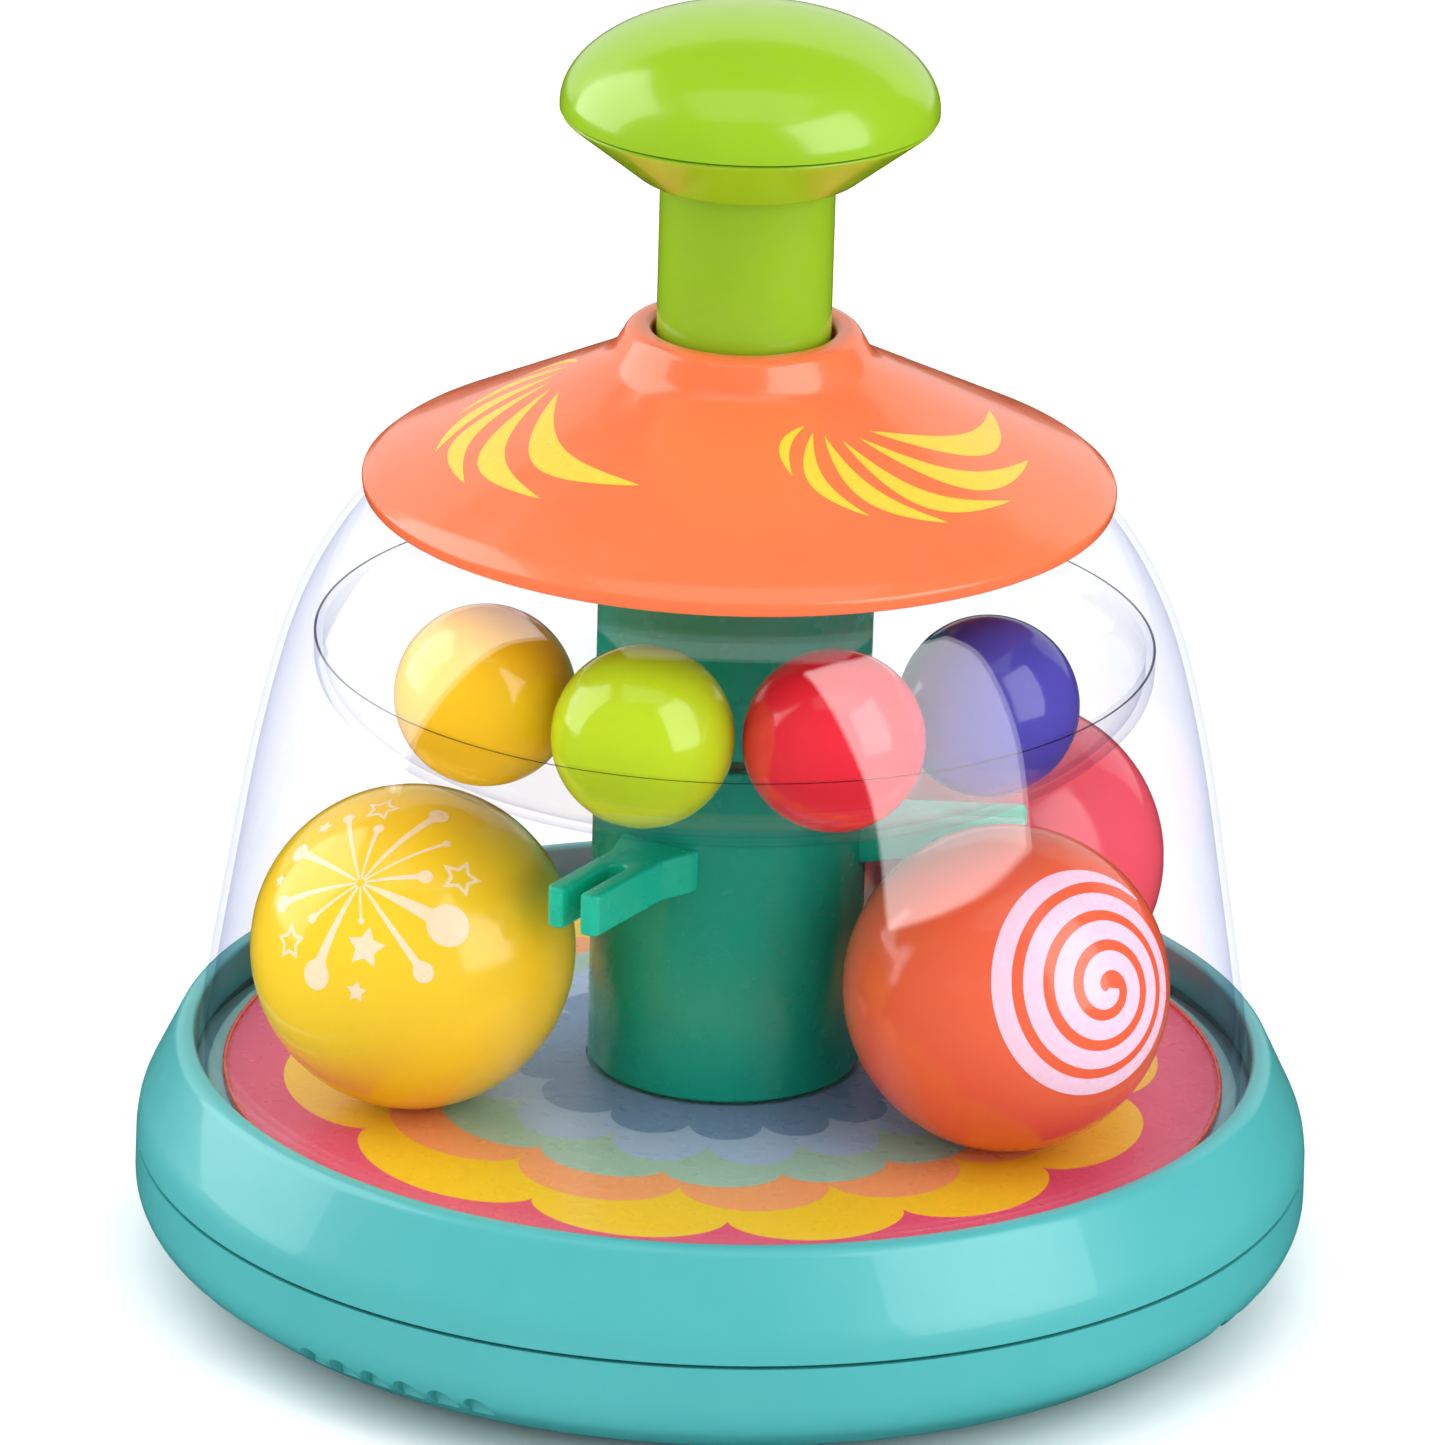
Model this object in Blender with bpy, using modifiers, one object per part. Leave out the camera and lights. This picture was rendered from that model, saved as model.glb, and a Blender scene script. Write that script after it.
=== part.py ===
"""A push-and-spin ball top: pressing the knob turns a twisted rod, which spins a bowl, three arms and balls.

Everything is in metres, +Z up. The origin is on the axis, level with the undersides of the feet.
Azimuths are in degrees from +X, and -90 degrees is the front.
"""

from math import asin, ceil, cos, degrees, radians, sin, tau

import bmesh
import bpy
from mathutils import Matrix, Vector

# Driving dimensions: outside shapes.
BASE_RADIUS = 0.1126
PAN_BOTTOM_Z = 0.0012
SEAM_Z = 0.0250
SEAM_GAP = 0.0006
RING_TOP_Z = 0.0450
LIP_RADIUS = 0.1014
DOME_FOOT_RADIUS = 0.1009
DOME_TOP_Z = 0.1622
HAT_RADIUS = 0.0712
COLLAR_TOP_Z = 0.1880
COLLAR_BORE = 0.0171
STEM_RADIUS = 0.0164
KNOB_RADIUS = 0.0354
KNOB_SEAM_Z = 0.2340
KNOB_TOP_Z = 0.2490
CUP_BOTTOM_Z = 0.2176
HAT_SCREW_ORBIT = 0.0370
HAT_BOSS_LOW_Z = 0.1645
HAT_SCREW_AZIMUTHS = (90, 210, 330)

# Driving dimensions: the base's screws, feet and scoops.
SCREW_ORBIT = 0.1070
SCREW_AZIMUTHS = (-150, -30, 90)
SCREW_HOLE = 0.0018
WELL_RADIUS = 0.0041
WELL_FOOT_Z = 0.0104
WELL_STEP_Z = 0.0160
WELL_TOP_Z = 0.0220
RING_BOSS_TOP_Z = 0.0326
FOOT_ORBIT = 0.0800
FOOT_AZIMUTHS = (45, 135, 225, 315)
FOOT_STEM_RADIUS = 0.0022
BOSS_RADIUS = 0.0090
BOSS_TOP_Z = 0.0345
NOTCH_GROUPS = (-123.0, -21.0)
NOTCH_PITCH = 3.9
NOTCH_RADIUS = 0.0026
NOTCH_DEPTH_RADIUS = 0.1082
NOTCH_Z = 0.0112

# Driving dimensions: the floor and what turns on it.
FLOOR_RADIUS = 0.0960
FLOOR_EDGE_Z = 0.0374
FLOOR_RISE = 0.0033
COLUMN_RADIUS = 0.0261
COLUMN_WALL = 0.0022
COLUMN_FOOT_Z = 0.0411
BOWL_SEAT_Z = 0.1082
BOWL_LOW_Z = 0.1062
BOWL_RIM_RADIUS = 0.0796
BOWL_RIM_Z = 0.1263
BOWL_WALL = 0.0018
COLUMN_TOP_Z = 0.1582
BIG_BALL_RADIUS = 0.0308
BIG_BALL_ORBIT = 0.0633
BIG_BALL_AZIMUTHS = (-159.0, -33.5, 32.0)
SMALL_BALL_RADIUS = 0.0170
SMALL_BALL_ORBIT = 0.0593
SMALL_BALL_Z = 0.1266
SMALL_BALL_AZIMUTHS = (-140.9, -106.0, -71.6, -36.9)
ARM_AZIMUTHS = (-121.0, -1.0, 119.0)
ARM_REACH = 0.0565
ARM_LOW_Z = 0.0840
ARM_HEIGHT = 0.0082
ARM_TENON = 0.0038

# Driving dimensions: the drive.
TRAVEL = 0.0260
TWIST_LEAD = TRAVEL
TWIST_SLICES = 24
STRIP_WIDTH = 0.0070
STRIP_THICKNESS = 0.0030
STRIP_LOW_Z = 0.1170
ROD_TOP_Z = 0.1740
ROD_RADIUS = 0.0046
PLUNGER_BOTTOM_Z = 0.1480
PLUNGER_BORE = 0.0142
NUT_HEIGHT = 0.0060
SLEEVE_RADIUS = 0.0193
SLEEVE_BORE = 0.0168
SLEEVE_BOTTOM_Z = 0.0840
SLEEVE_FLANGE_Z = 0.1626
SPRING_WIRE = 0.0014
SPRING_RADIUS = 0.0122
SPRING_TURNS = 7
RATCHET_TEETH = 12
RATCHET_LOW_Z = 0.0620
RATCHET_HEIGHT = 0.0066
RATCHET_PHASE = -4.0
PIVOT_RADIUS = 0.0040

GAP = 0.0003
SHELL = 0.0022
STEPS_LARGE = 32
STEPS_MEDIUM = 24
STEPS_SMALL = 12
STEPS_TINY = 8
TOUCH = 0.0001
SMALL_ROUND = 0.0017
SHARP = radians(35)

PART_NAME = "push_and_spin_top"


# ---------------------------------------------------------------- tools


def clear_scene():
    for obj in list(bpy.data.objects):
        bpy.data.objects.remove(obj, do_unlink=True)


def new_collection(name):
    collection = bpy.data.collections.new(name)
    bpy.context.scene.collection.children.link(collection)
    return collection


def plastic(name, color, roughness=0.25, metallic=0.0, alpha=1.0):
    material = bpy.data.materials.new(name)
    material.use_nodes = True
    shader = material.node_tree.nodes["Principled BSDF"]
    shader.inputs["Base Color"].default_value = (*color, 1.0)
    shader.inputs["Roughness"].default_value = roughness
    shader.inputs["Metallic"].default_value = metallic
    shader.inputs["Alpha"].default_value = alpha
    material.diffuse_color = (*color, alpha)
    return material


def add_object(name, mesh, material=None, parent=None, location=(0, 0, 0), cutter=False):
    """An object at a place in the world, in the parts or the cutters collection."""
    obj = bpy.data.objects.new(name, mesh)
    (CUTTERS if cutter else PARTS).objects.link(obj)
    obj.location = location
    if material:
        mesh.materials.append(material)
    if parent:
        obj.parent = parent
        obj.matrix_parent_inverse = Matrix.Translation(parent.location).inverted()
    if cutter:
        obj.hide_render = True
        obj.display_type = "WIRE"
    return obj


def joint_empty(name, location=(0, 0, 0), parent=None):
    """An empty on a joint's axis, which carries the pieces of one moving body."""
    empty = bpy.data.objects.new(name, None)
    empty.empty_display_size = 0.02
    PARTS.objects.link(empty)
    empty.location = location
    if parent:
        empty.parent = parent
        empty.matrix_parent_inverse = Matrix.Translation(parent.location).inverted()
    return empty


def add_screw(obj, steps):
    """Turns the object's profile about +Z."""
    screw = obj.modifiers.new("Turn", "SCREW")
    screw.angle = tau
    screw.steps = steps
    screw.render_steps = steps
    screw.use_merge_vertices = True
    screw.merge_threshold = TOUCH
    screw.use_smooth_shade = True


def profile_mesh(name, points, closed):
    mesh = bpy.data.meshes.new(name)
    last = len(points) if closed else len(points) - 1
    edges = [(i, (i + 1) % len(points)) for i in range(last)]
    mesh.from_pydata([(r, 0, z) for r, z in points], edges, [])
    return mesh


def turned(name, points, material=None, steps=STEPS_MEDIUM, closed=True, wall=None, **place):
    """A turned piece: a closed profile is a whole section, an open one gets a wall or meets the axis twice."""
    obj = add_object(name, profile_mesh(name, points, closed), material, **place)
    add_screw(obj, steps)
    if wall:
        solidify = obj.modifiers.new("Wall", "SOLIDIFY")
        solidify.thickness = wall
        solidify.offset = -1
        solidify.use_even_offset = True
        solidify.use_quality_normals = True
    return obj


def boolean(obj, tool, operation="DIFFERENCE"):
    modifier = obj.modifiers.new(operation.title(), "BOOLEAN")
    modifier.operation = operation
    modifier.object = tool
    modifier.solver = "EXACT"


def arc(centre, radius, start, end, count, squash=1.0):
    """Points on an arc from one angle to another, in degrees from +X; squash scales its height."""
    turns = [radians(start + (end - start) * i / count) for i in range(count + 1)]
    return [(centre[0] + radius * cos(t), centre[1] + radius * squash * sin(t)) for t in turns]


def rounded(corners, closed=False):
    """A polyline whose corners (x, y, radius) are rounded by arcs, in steps of up to 40 degrees."""
    points = []
    for i, (x, y, radius) in enumerate(corners):
        end = not closed and i in (0, len(corners) - 1)
        if end or radius == 0:
            points.append((x, y))
            continue
        here = Vector((x, y))
        back = (Vector(corners[i - 1][:2]) - here).normalized()
        ahead = (Vector(corners[(i + 1) % len(corners)][:2]) - here).normalized()
        half = back.angle(ahead) / 2
        centre = here + (back + ahead).normalized() * (radius / sin(half))
        first = here + back * (radius * cos(half) / sin(half)) - centre
        turn = first.angle_signed(here + ahead * (radius * cos(half) / sin(half)) - centre)
        count = 1 if radius < SMALL_ROUND else max(1, ceil(abs(turn) / radians(40)))
        for k in range(count + 1):
            spoke = Matrix.Rotation(-turn * k / count, 2) @ first
            points.append(tuple(centre + spoke))
    return points


def rod_mesh(name, radius, low, high, steps=STEPS_SMALL):
    """A cylinder from one height to another."""
    mesh = bpy.data.meshes.new(name)
    shape = bmesh.new()
    middle = Matrix.Translation((0, 0, (low + high) / 2))
    size = {"segments": steps, "radius1": radius, "radius2": radius, "depth": high - low}
    bmesh.ops.create_cone(shape, cap_ends=True, matrix=middle, **size)
    shape.to_mesh(mesh)
    shape.free()
    return mesh


def box_mesh(name, size, centre=(0, 0, 0)):
    mesh = bpy.data.meshes.new(name)
    shape = bmesh.new()
    bmesh.ops.create_cube(shape, size=1, matrix=Matrix.Translation(centre) @ Matrix.Diagonal((*size, 1)))
    shape.to_mesh(mesh)
    shape.free()
    return mesh


def joined_mesh(name, meshes):
    """One mesh of several bodies, for a cutter."""
    shape = bmesh.new()
    for mesh in meshes:
        shape.from_mesh(mesh)
    whole = bpy.data.meshes.new(name)
    shape.to_mesh(whole)
    shape.free()
    return whole


def ring_of_rods(name, radius, low, high, steps, azimuths, orbit):
    """A cutter of upright rods at azimuths round the axis."""
    rods = [moved(rod_mesh(name, radius, low, high, steps), azimuth, orbit) for azimuth in azimuths]
    return add_object(name, joined_mesh(name, rods), cutter=True)


def screw_ring(name, radius, low, high, steps=STEPS_TINY):
    """Rods on the axes of the base's screws."""
    return ring_of_rods(name, radius, low, high, steps, SCREW_AZIMUTHS, SCREW_ORBIT)


def hat_screw_ring(name, radius, low, high, steps=STEPS_TINY):
    """Rods on the axes of the hat's screws."""
    return ring_of_rods(name, radius, low, high, steps, HAT_SCREW_AZIMUTHS, HAT_SCREW_ORBIT)


def moved(mesh, azimuth=0.0, radius=0.0, z=0.0):
    """The mesh put out along +X and turned to an azimuth about the axis."""
    mesh.transform(Matrix.Rotation(radians(azimuth), 4, "Z") @ Matrix.Translation((radius, 0, z)))
    return mesh


def polar(azimuth, radius, z=0.0):
    return (radius * cos(radians(azimuth)), radius * sin(radians(azimuth)), z)


def extruded(name, outline, low, height, material=None, edge=0.0, **place):
    """A flat outline made a plate of a height, with its edges rounded."""
    curve = bpy.data.curves.new(name, "CURVE")
    curve.dimensions = "2D"
    curve.fill_mode = "BOTH"
    curve.extrude = height / 2
    spline = curve.splines.new("POLY")
    spline.points.add(len(outline) - 1)
    for point, (x, y) in zip(spline.points, outline):
        point.co = (x, y, 0, 1)
    spline.use_cyclic_u = True
    source = bpy.data.objects.new(name + "_outline", curve)
    CUTTERS.objects.link(source)
    mesh = bpy.data.meshes.new_from_object(source.evaluated_get(bpy.context.evaluated_depsgraph_get()))
    bpy.data.objects.remove(source)
    mesh.name = name
    shape = bmesh.new()
    shape.from_mesh(mesh)
    bmesh.ops.remove_doubles(shape, verts=shape.verts, dist=TOUCH / 10)
    bmesh.ops.translate(shape, verts=shape.verts, vec=(0, 0, low + height / 2))
    shape.to_mesh(mesh)
    shape.free()
    obj = add_object(name, mesh, material, **place)
    if edge:
        bevel = obj.modifiers.new("Edges", "BEVEL")
        bevel.width = edge
        bevel.segments = 1
        bevel.limit_method = "ANGLE"
        bevel.angle_limit = radians(60)
    return obj


def settle(collection):
    """Makes each piece's modifiers real, and shades it smooth with its corners sharp."""
    graph = bpy.context.evaluated_depsgraph_get()
    pieces = [obj for obj in collection.objects if obj.type == "MESH"]
    meshes = [bpy.data.meshes.new_from_object(obj.evaluated_get(graph)) for obj in pieces]
    for obj, mesh in zip(pieces, meshes):
        obj.modifiers.clear()
        obj.data = mesh
        mesh.name = obj.name
        mesh.shade_smooth()
        mesh.set_sharp_from_angle(angle=SHARP)


# ---------------------------------------------------------------- base


def floor_z(radius):
    """The height of the ball track, a shallow cone that falls towards its edge."""
    return FLOOR_EDGE_Z + FLOOR_RISE * (FLOOR_RADIUS - radius) / (FLOOR_RADIUS - COLUMN_RADIUS)


def make_base_pan(material):
    outer = rounded(
        [
            (BASE_RADIUS - 0.0002, SEAM_Z - SEAM_GAP / 2, 0),
            (BASE_RADIUS, 0.0125, 0.0100),
            (0.1020, 0.0046, 0.0100),
            (0.0925, PAN_BOTTOM_Z, 0.0030),
            (BOSS_RADIUS, PAN_BOTTOM_Z, 0),
            (0, PAN_BOTTOM_Z, 0),
        ]
    )
    pan = turned("base_pan", outer, material, STEPS_LARGE, closed=False, wall=SHELL)
    wells = [well_mesh(azimuth) for azimuth in SCREW_AZIMUTHS]
    boss = rod_mesh("boss", BOSS_RADIUS, PAN_BOTTOM_Z + SHELL / 2, BOSS_TOP_Z)
    boolean(pan, add_object("pan_bosses", joined_mesh("pan_bosses", [*wells, boss]), cutter=True), "UNION")
    holes = [rod_mesh("pivot_hole", PIVOT_RADIUS + GAP, 0.0100, 0.0500)]
    for azimuth in SCREW_AZIMUTHS:
        holes.append(moved(rod_mesh("head_hole", 0.0033, -0.0050, WELL_STEP_Z), azimuth, SCREW_ORBIT))
    for azimuth in FOOT_AZIMUTHS:
        foot_hole = rod_mesh("foot_hole", FOOT_STEM_RADIUS + GAP, -0.0050, 0.0080)
        holes.append(moved(foot_hole, azimuth, FOOT_ORBIT))
    boolean(pan, add_object("pan_holes", joined_mesh("pan_holes", holes), cutter=True))
    boolean(pan, screw_ring("pan_shank_holes", SCREW_HOLE, WELL_STEP_Z - 0.0020, 0.0300))
    boolean(pan, add_object("pan_notches", notches_mesh(), cutter=True))
    return pan


def well_mesh(azimuth):
    """A screw well whose foot follows the slope of the pan's lower edge."""
    well = rod_mesh("well", WELL_RADIUS, WELL_FOOT_Z, WELL_TOP_Z)
    for vertex in well.vertices:
        if vertex.co.z < WELL_TOP_Z - TOUCH:
            vertex.co.z += vertex.co.x
    return moved(well, azimuth, SCREW_ORBIT)


def notches_mesh():
    """Rows of six scoops out of the pan's lower edge."""
    scoops = []
    for group in NOTCH_GROUPS:
        for i in range(6):
            scoop = rod_mesh("notch", NOTCH_RADIUS, NOTCH_DEPTH_RADIUS, 0.1150, STEPS_TINY)
            scoop.transform(Matrix.Rotation(radians(90), 4, "Y"))
            scoops.append(moved(scoop, group + (i - 2.5) * NOTCH_PITCH, 0.0, NOTCH_Z))
    return joined_mesh("pan_notches", scoops)


def make_base_ring(material):
    """The fat ring that holds the dome's foot down on the track plate."""
    section = rounded(
        [
            (LIP_RADIUS, RING_TOP_Z, 0.0008),
            (0.1046, RING_TOP_Z, 0.0030),
            (0.1119, 0.0300, 0.0150),
            (BASE_RADIUS - 0.0002, SEAM_Z + SEAM_GAP / 2, 0),
            (BASE_RADIUS - 0.0002 - SHELL, SEAM_Z + SEAM_GAP / 2, 0),
            (0.1097, 0.0300, 0.0080),
            (0.1036, 0.0425, 0.0010),
            (0.1036, 0.0372, 0),
            (LIP_RADIUS, 0.0372, 0),
        ],
        closed=True,
    )
    ring = turned("base_ring", section, material, STEPS_LARGE)
    low = SEAM_Z + 0.0010
    boolean(ring, screw_ring("ring_bosses", 0.0033, low, RING_BOSS_TOP_Z, STEPS_SMALL), "UNION")
    boolean(ring, screw_ring("ring_holes", SCREW_HOLE, low - 0.0030, RING_BOSS_TOP_Z - 0.0015))
    return ring


def screw_profile(head_radius, shank_radius, head_z, length):
    """A pan-head screw with its head at the bottom and its point up."""
    head = 0.0018
    return [
        (0, head_z + length),
        (shank_radius, head_z + length - 0.0015),
        (shank_radius, head_z + head),
        (head_radius, head_z + head),
        (head_radius * 0.8, head_z),
        (0, head_z),
    ]


def make_base_screws(material):
    profile = screw_profile(0.0028, 0.0014, 0.0138, 0.0165)
    for i, azimuth in enumerate(SCREW_AZIMUTHS, 1):
        place = polar(azimuth, SCREW_ORBIT)
        turned(f"base_screw_{i}", profile, material, STEPS_TINY, closed=False, location=place)


def make_feet(material):
    profile = [
        (0, 0.0062),
        (0.0016, 0.0062),
        (0.0030, 0.0040),
        (FOOT_STEM_RADIUS, 0.0038),
        (FOOT_STEM_RADIUS, 0.0009),
        (0.0070, 0.0009),
        (0.0070, 0),
        (0, 0),
    ]
    for i, azimuth in enumerate(FOOT_AZIMUTHS, 1):
        place = polar(azimuth, FOOT_ORBIT)
        turned(f"foot_{i}", profile, material, STEPS_SMALL, closed=False, location=place)


def make_floor(plate_material, print_material):
    """The moulded track plate, and the printed disc that lies on it."""
    thickness = 0.0018
    sheet = 0.0005
    drop = sheet + GAP
    hole = 0.0104
    flat_z = floor_z(COLUMN_RADIUS) - drop
    plate = [
        (hole, flat_z),
        (COLUMN_RADIUS, flat_z),
        (0.0987, floor_z(0.0987) - drop),
        (0.0987, 0.0341),
        (0.1030, 0.0341),
        (0.1030, 0.0323),
        (0.0967, 0.0323),
        (0.0967, floor_z(0.0967) - drop - thickness),
        (COLUMN_RADIUS, flat_z - thickness),
        (hole, flat_z - thickness),
    ]
    turned("track_plate", plate, plate_material, STEPS_LARGE)
    inner = COLUMN_RADIUS + 0.0002
    disc = [
        (inner, floor_z(inner)),
        (FLOOR_RADIUS, floor_z(FLOOR_RADIUS)),
        (FLOOR_RADIUS, floor_z(FLOOR_RADIUS) - sheet),
        (inner, floor_z(inner) - sheet),
    ]
    turned("printed_disc", disc, print_material, STEPS_LARGE)


def make_pivot(steel, washer_material):
    """The fixed steel pin that the rotor turns on, and the washer under the rotor."""
    shoulder_z = 0.0368
    pin = [
        (0, 0.0580),
        (PIVOT_RADIUS - 0.0006, 0.0580),
        (PIVOT_RADIUS, 0.0574),
        (PIVOT_RADIUS, shoulder_z),
        (0.0078, shoulder_z),
        (0.0078, BOSS_TOP_Z + GAP),
        (PIVOT_RADIUS, BOSS_TOP_Z + GAP),
        (PIVOT_RADIUS, 0.0104),
        (0, 0.0104),
    ]
    turned("pivot_pin", pin, steel, STEPS_SMALL, closed=False)
    low = shoulder_z + GAP
    washer = [
        (PIVOT_RADIUS + GAP, low + 0.0044),
        (0.0088, low + 0.0044),
        (0.0088, low),
        (PIVOT_RADIUS + GAP, low),
    ]
    turned("thrust_washer", washer, washer_material, STEPS_SMALL)


# ---------------------------------------------------------------- dome, hat and guide


def make_dome(material):
    """The clear cover: its foot stands in the ring, and the hat hides its flat top."""
    wall = 0.0015
    flange = 0.1029
    outer = [(0.0214, DOME_TOP_Z), (0.0400, DOME_TOP_Z - 0.0004)]
    outer += [(0.0545, 0.1590), (0.0655, 0.1545), (0.0750, 0.1462), (0.0843, 0.1291), (0.0908, 0.1050)]
    outer += [(0.0959, 0.0760), (DOME_FOOT_RADIUS, RING_TOP_Z), (DOME_FOOT_RADIUS, 0.0366)]
    inner = [(r - wall * 0.6, z - wall * 0.8) for r, z in outer[2:5]]
    inner = [(r, z - wall) for r, z in outer[:2]] + inner
    inner += [(r - wall, z - wall * 0.2) for r, z in outer[5:8]]
    inner += [(DOME_FOOT_RADIUS - wall, RING_TOP_Z), (DOME_FOOT_RADIUS - wall, 0.0344)]
    foot = [(flange, 0.0366), (flange, 0.0344)]
    return turned("dome", outer + foot + inner[::-1], material, STEPS_LARGE)


def make_hat(material):
    wall = 0.0024
    outer = rounded(
        [
            (COLLAR_BORE, 0.1780, 0),
            (COLLAR_BORE, COLLAR_TOP_Z, 0.0016),
            (0.0215, COLLAR_TOP_Z, 0.0030),
            (0.0252, 0.1815, 0.0080),
            (0.0320, 0.1778, 0.0160),
            (0.0685, 0.1600, 0.0100),
            (HAT_RADIUS, 0.1578, 0.0010),
            (HAT_RADIUS - 0.0004, 0.1552, 0.0010),
        ]
    )
    inner = rounded(
        [
            (HAT_RADIUS - 0.0012, 0.1552, 0),
            (0.0680, 0.1575, 0.0060),
            (0.0310, 0.1756, 0.0120),
            (0.0240, 0.1790, 0.0040),
            (COLLAR_BORE + wall, 0.1815, 0.0020),
            (COLLAR_BORE + wall, 0.1780, 0),
        ]
    )
    hat = turned("hat", outer + inner, material, STEPS_LARGE)
    low = HAT_BOSS_LOW_Z
    boolean(hat, hat_screw_ring("hat_bosses", 0.0040, low, low + 0.0090, STEPS_SMALL), "UNION")
    boolean(hat, hat_screw_ring("hat_holes", SCREW_HOLE, low - 0.0045, low + 0.0065))
    return hat


def make_hat_screws(dome, steel):
    boolean(dome, hat_screw_ring("dome_holes", 0.0019, 0.1550, 0.1650))
    profile = screw_profile(0.0030, 0.0014, 0.1580, 0.0120)
    for i, azimuth in enumerate(HAT_SCREW_AZIMUTHS, 1):
        place = polar(azimuth, HAT_SCREW_ORBIT)
        turned(f"hat_screw_{i}", profile, steel, STEPS_TINY, closed=False, location=place)


def make_guide_sleeve(material):
    """The fixed tube that guides the stem, with a floor that the return spring stands on."""
    floor = 0.0024
    section = [
        (SLEEVE_BORE, 0.1765),
        (SLEEVE_RADIUS - 0.0002, 0.1765),
        (SLEEVE_RADIUS - 0.0002, SLEEVE_FLANGE_Z + 0.0020),
        (0.0300, SLEEVE_FLANGE_Z + 0.0020),
        (0.0300, SLEEVE_FLANGE_Z),
        (SLEEVE_RADIUS, SLEEVE_FLANGE_Z),
        (SLEEVE_RADIUS, SLEEVE_BOTTOM_Z),
        (0.0080, SLEEVE_BOTTOM_Z),
        (0.0080, SLEEVE_BOTTOM_Z + floor),
        (SLEEVE_BORE, SLEEVE_BOTTOM_Z + floor),
    ]
    turned("guide_sleeve", section, material, STEPS_MEDIUM)
    low = COLUMN_TOP_Z + GAP
    section = [(0.0208, low + 0.0016), (0.0256, low + 0.0016), (0.0256, low), (0.0208, low)]
    turned("top_bearing_ring", section, material, STEPS_MEDIUM)


# ---------------------------------------------------------------- plunger


def make_knob(material, steel, plunger):
    """The palm knob: a domed cap on a cup, held on the stem by one screw."""
    cap_low = KNOB_SEAM_Z + 0.0002
    skirt_z = cap_low + 0.0008
    height = KNOB_TOP_Z - skirt_z
    outer = arc((0, skirt_z), KNOB_RADIUS, 90, 0, 6, squash=height / KNOB_RADIUS)
    outer.append((KNOB_RADIUS, cap_low))
    cap = turned("knob_cap", outer, material, STEPS_MEDIUM, closed=False, wall=SHELL, parent=plunger)
    boss = add_object("cap_boss", rod_mesh("cap_boss", 0.0042, 0.2300, 0.2480, STEPS_SMALL), cutter=True)
    boolean(cap, boss, "UNION")
    hole = add_object("cap_hole", rod_mesh("cap_hole", 0.0018, 0.2250, 0.2400, STEPS_TINY), cutter=True)
    boolean(cap, hole)
    rim = KNOB_SEAM_Z - 0.0002
    cup = rounded(
        [
            (KNOB_RADIUS - SHELL, rim, 0),
            (KNOB_RADIUS, rim, 0.0004),
            (0.0345, 0.2286, 0.0060),
            (0.0205, CUP_BOTTOM_Z, 0.0060),
            (0.0180, CUP_BOTTOM_Z - 0.0006, 0),
            (STEM_RADIUS + GAP, CUP_BOTTOM_Z - 0.0006, 0),
            (STEM_RADIUS + GAP, 0.2265, 0),
            (STEM_RADIUS + 0.0022, 0.2265, 0),
            (STEM_RADIUS + 0.0022, 0.2205, 0.0006),
            (0.0318, 0.2290, 0.0040),
        ],
        closed=True,
    )
    turned("knob_cup", cup, material, STEPS_MEDIUM, parent=plunger)
    profile = screw_profile(0.0030, 0.0014, 0.2245, 0.0140)
    turned("knob_screw", profile, steel, STEPS_TINY, closed=False, parent=plunger)


def make_plunger_tube(material, plunger):
    top = 0.2290
    inner_top = 0.2268
    tube = [
        (0.0018, top),
        (STEM_RADIUS - 0.0006, top),
        (STEM_RADIUS, top - 0.0006),
        (STEM_RADIUS, PLUNGER_BOTTOM_Z),
        (PLUNGER_BORE, PLUNGER_BOTTOM_Z),
        (PLUNGER_BORE, inner_top),
        (0.0018, inner_top),
    ]
    turned("plunger_tube", tube, material, STEPS_MEDIUM, parent=plunger)


def twisted_strip(name, extra, low, high, **place):
    """A flat strip twisted about the axis, in slices that two strips share; extra is added all round."""
    rise = TWIST_LEAD / TWIST_SLICES
    slices = round((high - low) / rise)
    low = rise * round(low / rise)
    width = STRIP_WIDTH / 2 + extra
    thickness = STRIP_THICKNESS / 2 + extra
    shape = bmesh.new()
    start = Matrix.Rotation(tau * low / TWIST_LEAD, 4, "Z")
    corners = [(width, thickness), (-width, thickness), (-width, -thickness), (width, -thickness)]
    ring = [shape.verts.new(start @ Vector((x, y, low))) for x, y in corners]
    face = shape.faces.new(ring[::-1])
    for i in range(slices):
        top = bmesh.ops.extrude_face_region(shape, geom=[face])
        if i:
            shape.faces.remove(face)
        face = next(item for item in top["geom"] if isinstance(item, bmesh.types.BMFace))
        bmesh.ops.translate(shape, verts=face.verts, vec=(0, 0, rise))
        turn = Matrix.Rotation(tau * rise / TWIST_LEAD, 3, "Z")
        bmesh.ops.rotate(shape, verts=face.verts, cent=(0, 0, 0), matrix=turn)
    shape.faces.ensure_lookup_table()
    bmesh.ops.recalc_face_normals(shape, faces=shape.faces)
    mesh = bpy.data.meshes.new(name)
    shape.to_mesh(mesh)
    shape.free()
    return add_object(name, mesh, **place)


def make_drive_nut(material, plunger):
    """The slotted nut in the stem's lower end, which slides down the twisted rod and turns it."""
    radius = PLUNGER_BORE - GAP
    high = PLUNGER_BOTTOM_Z + NUT_HEIGHT
    body = rod_mesh("drive_nut", radius, PLUNGER_BOTTOM_Z, high, STEPS_MEDIUM)
    nut = add_object("drive_nut", body, material, parent=plunger)
    slot = twisted_strip("nut_slot", 0.0005, PLUNGER_BOTTOM_Z - 0.0020, high + 0.0020, cutter=True)
    boolean(nut, slot)


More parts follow.
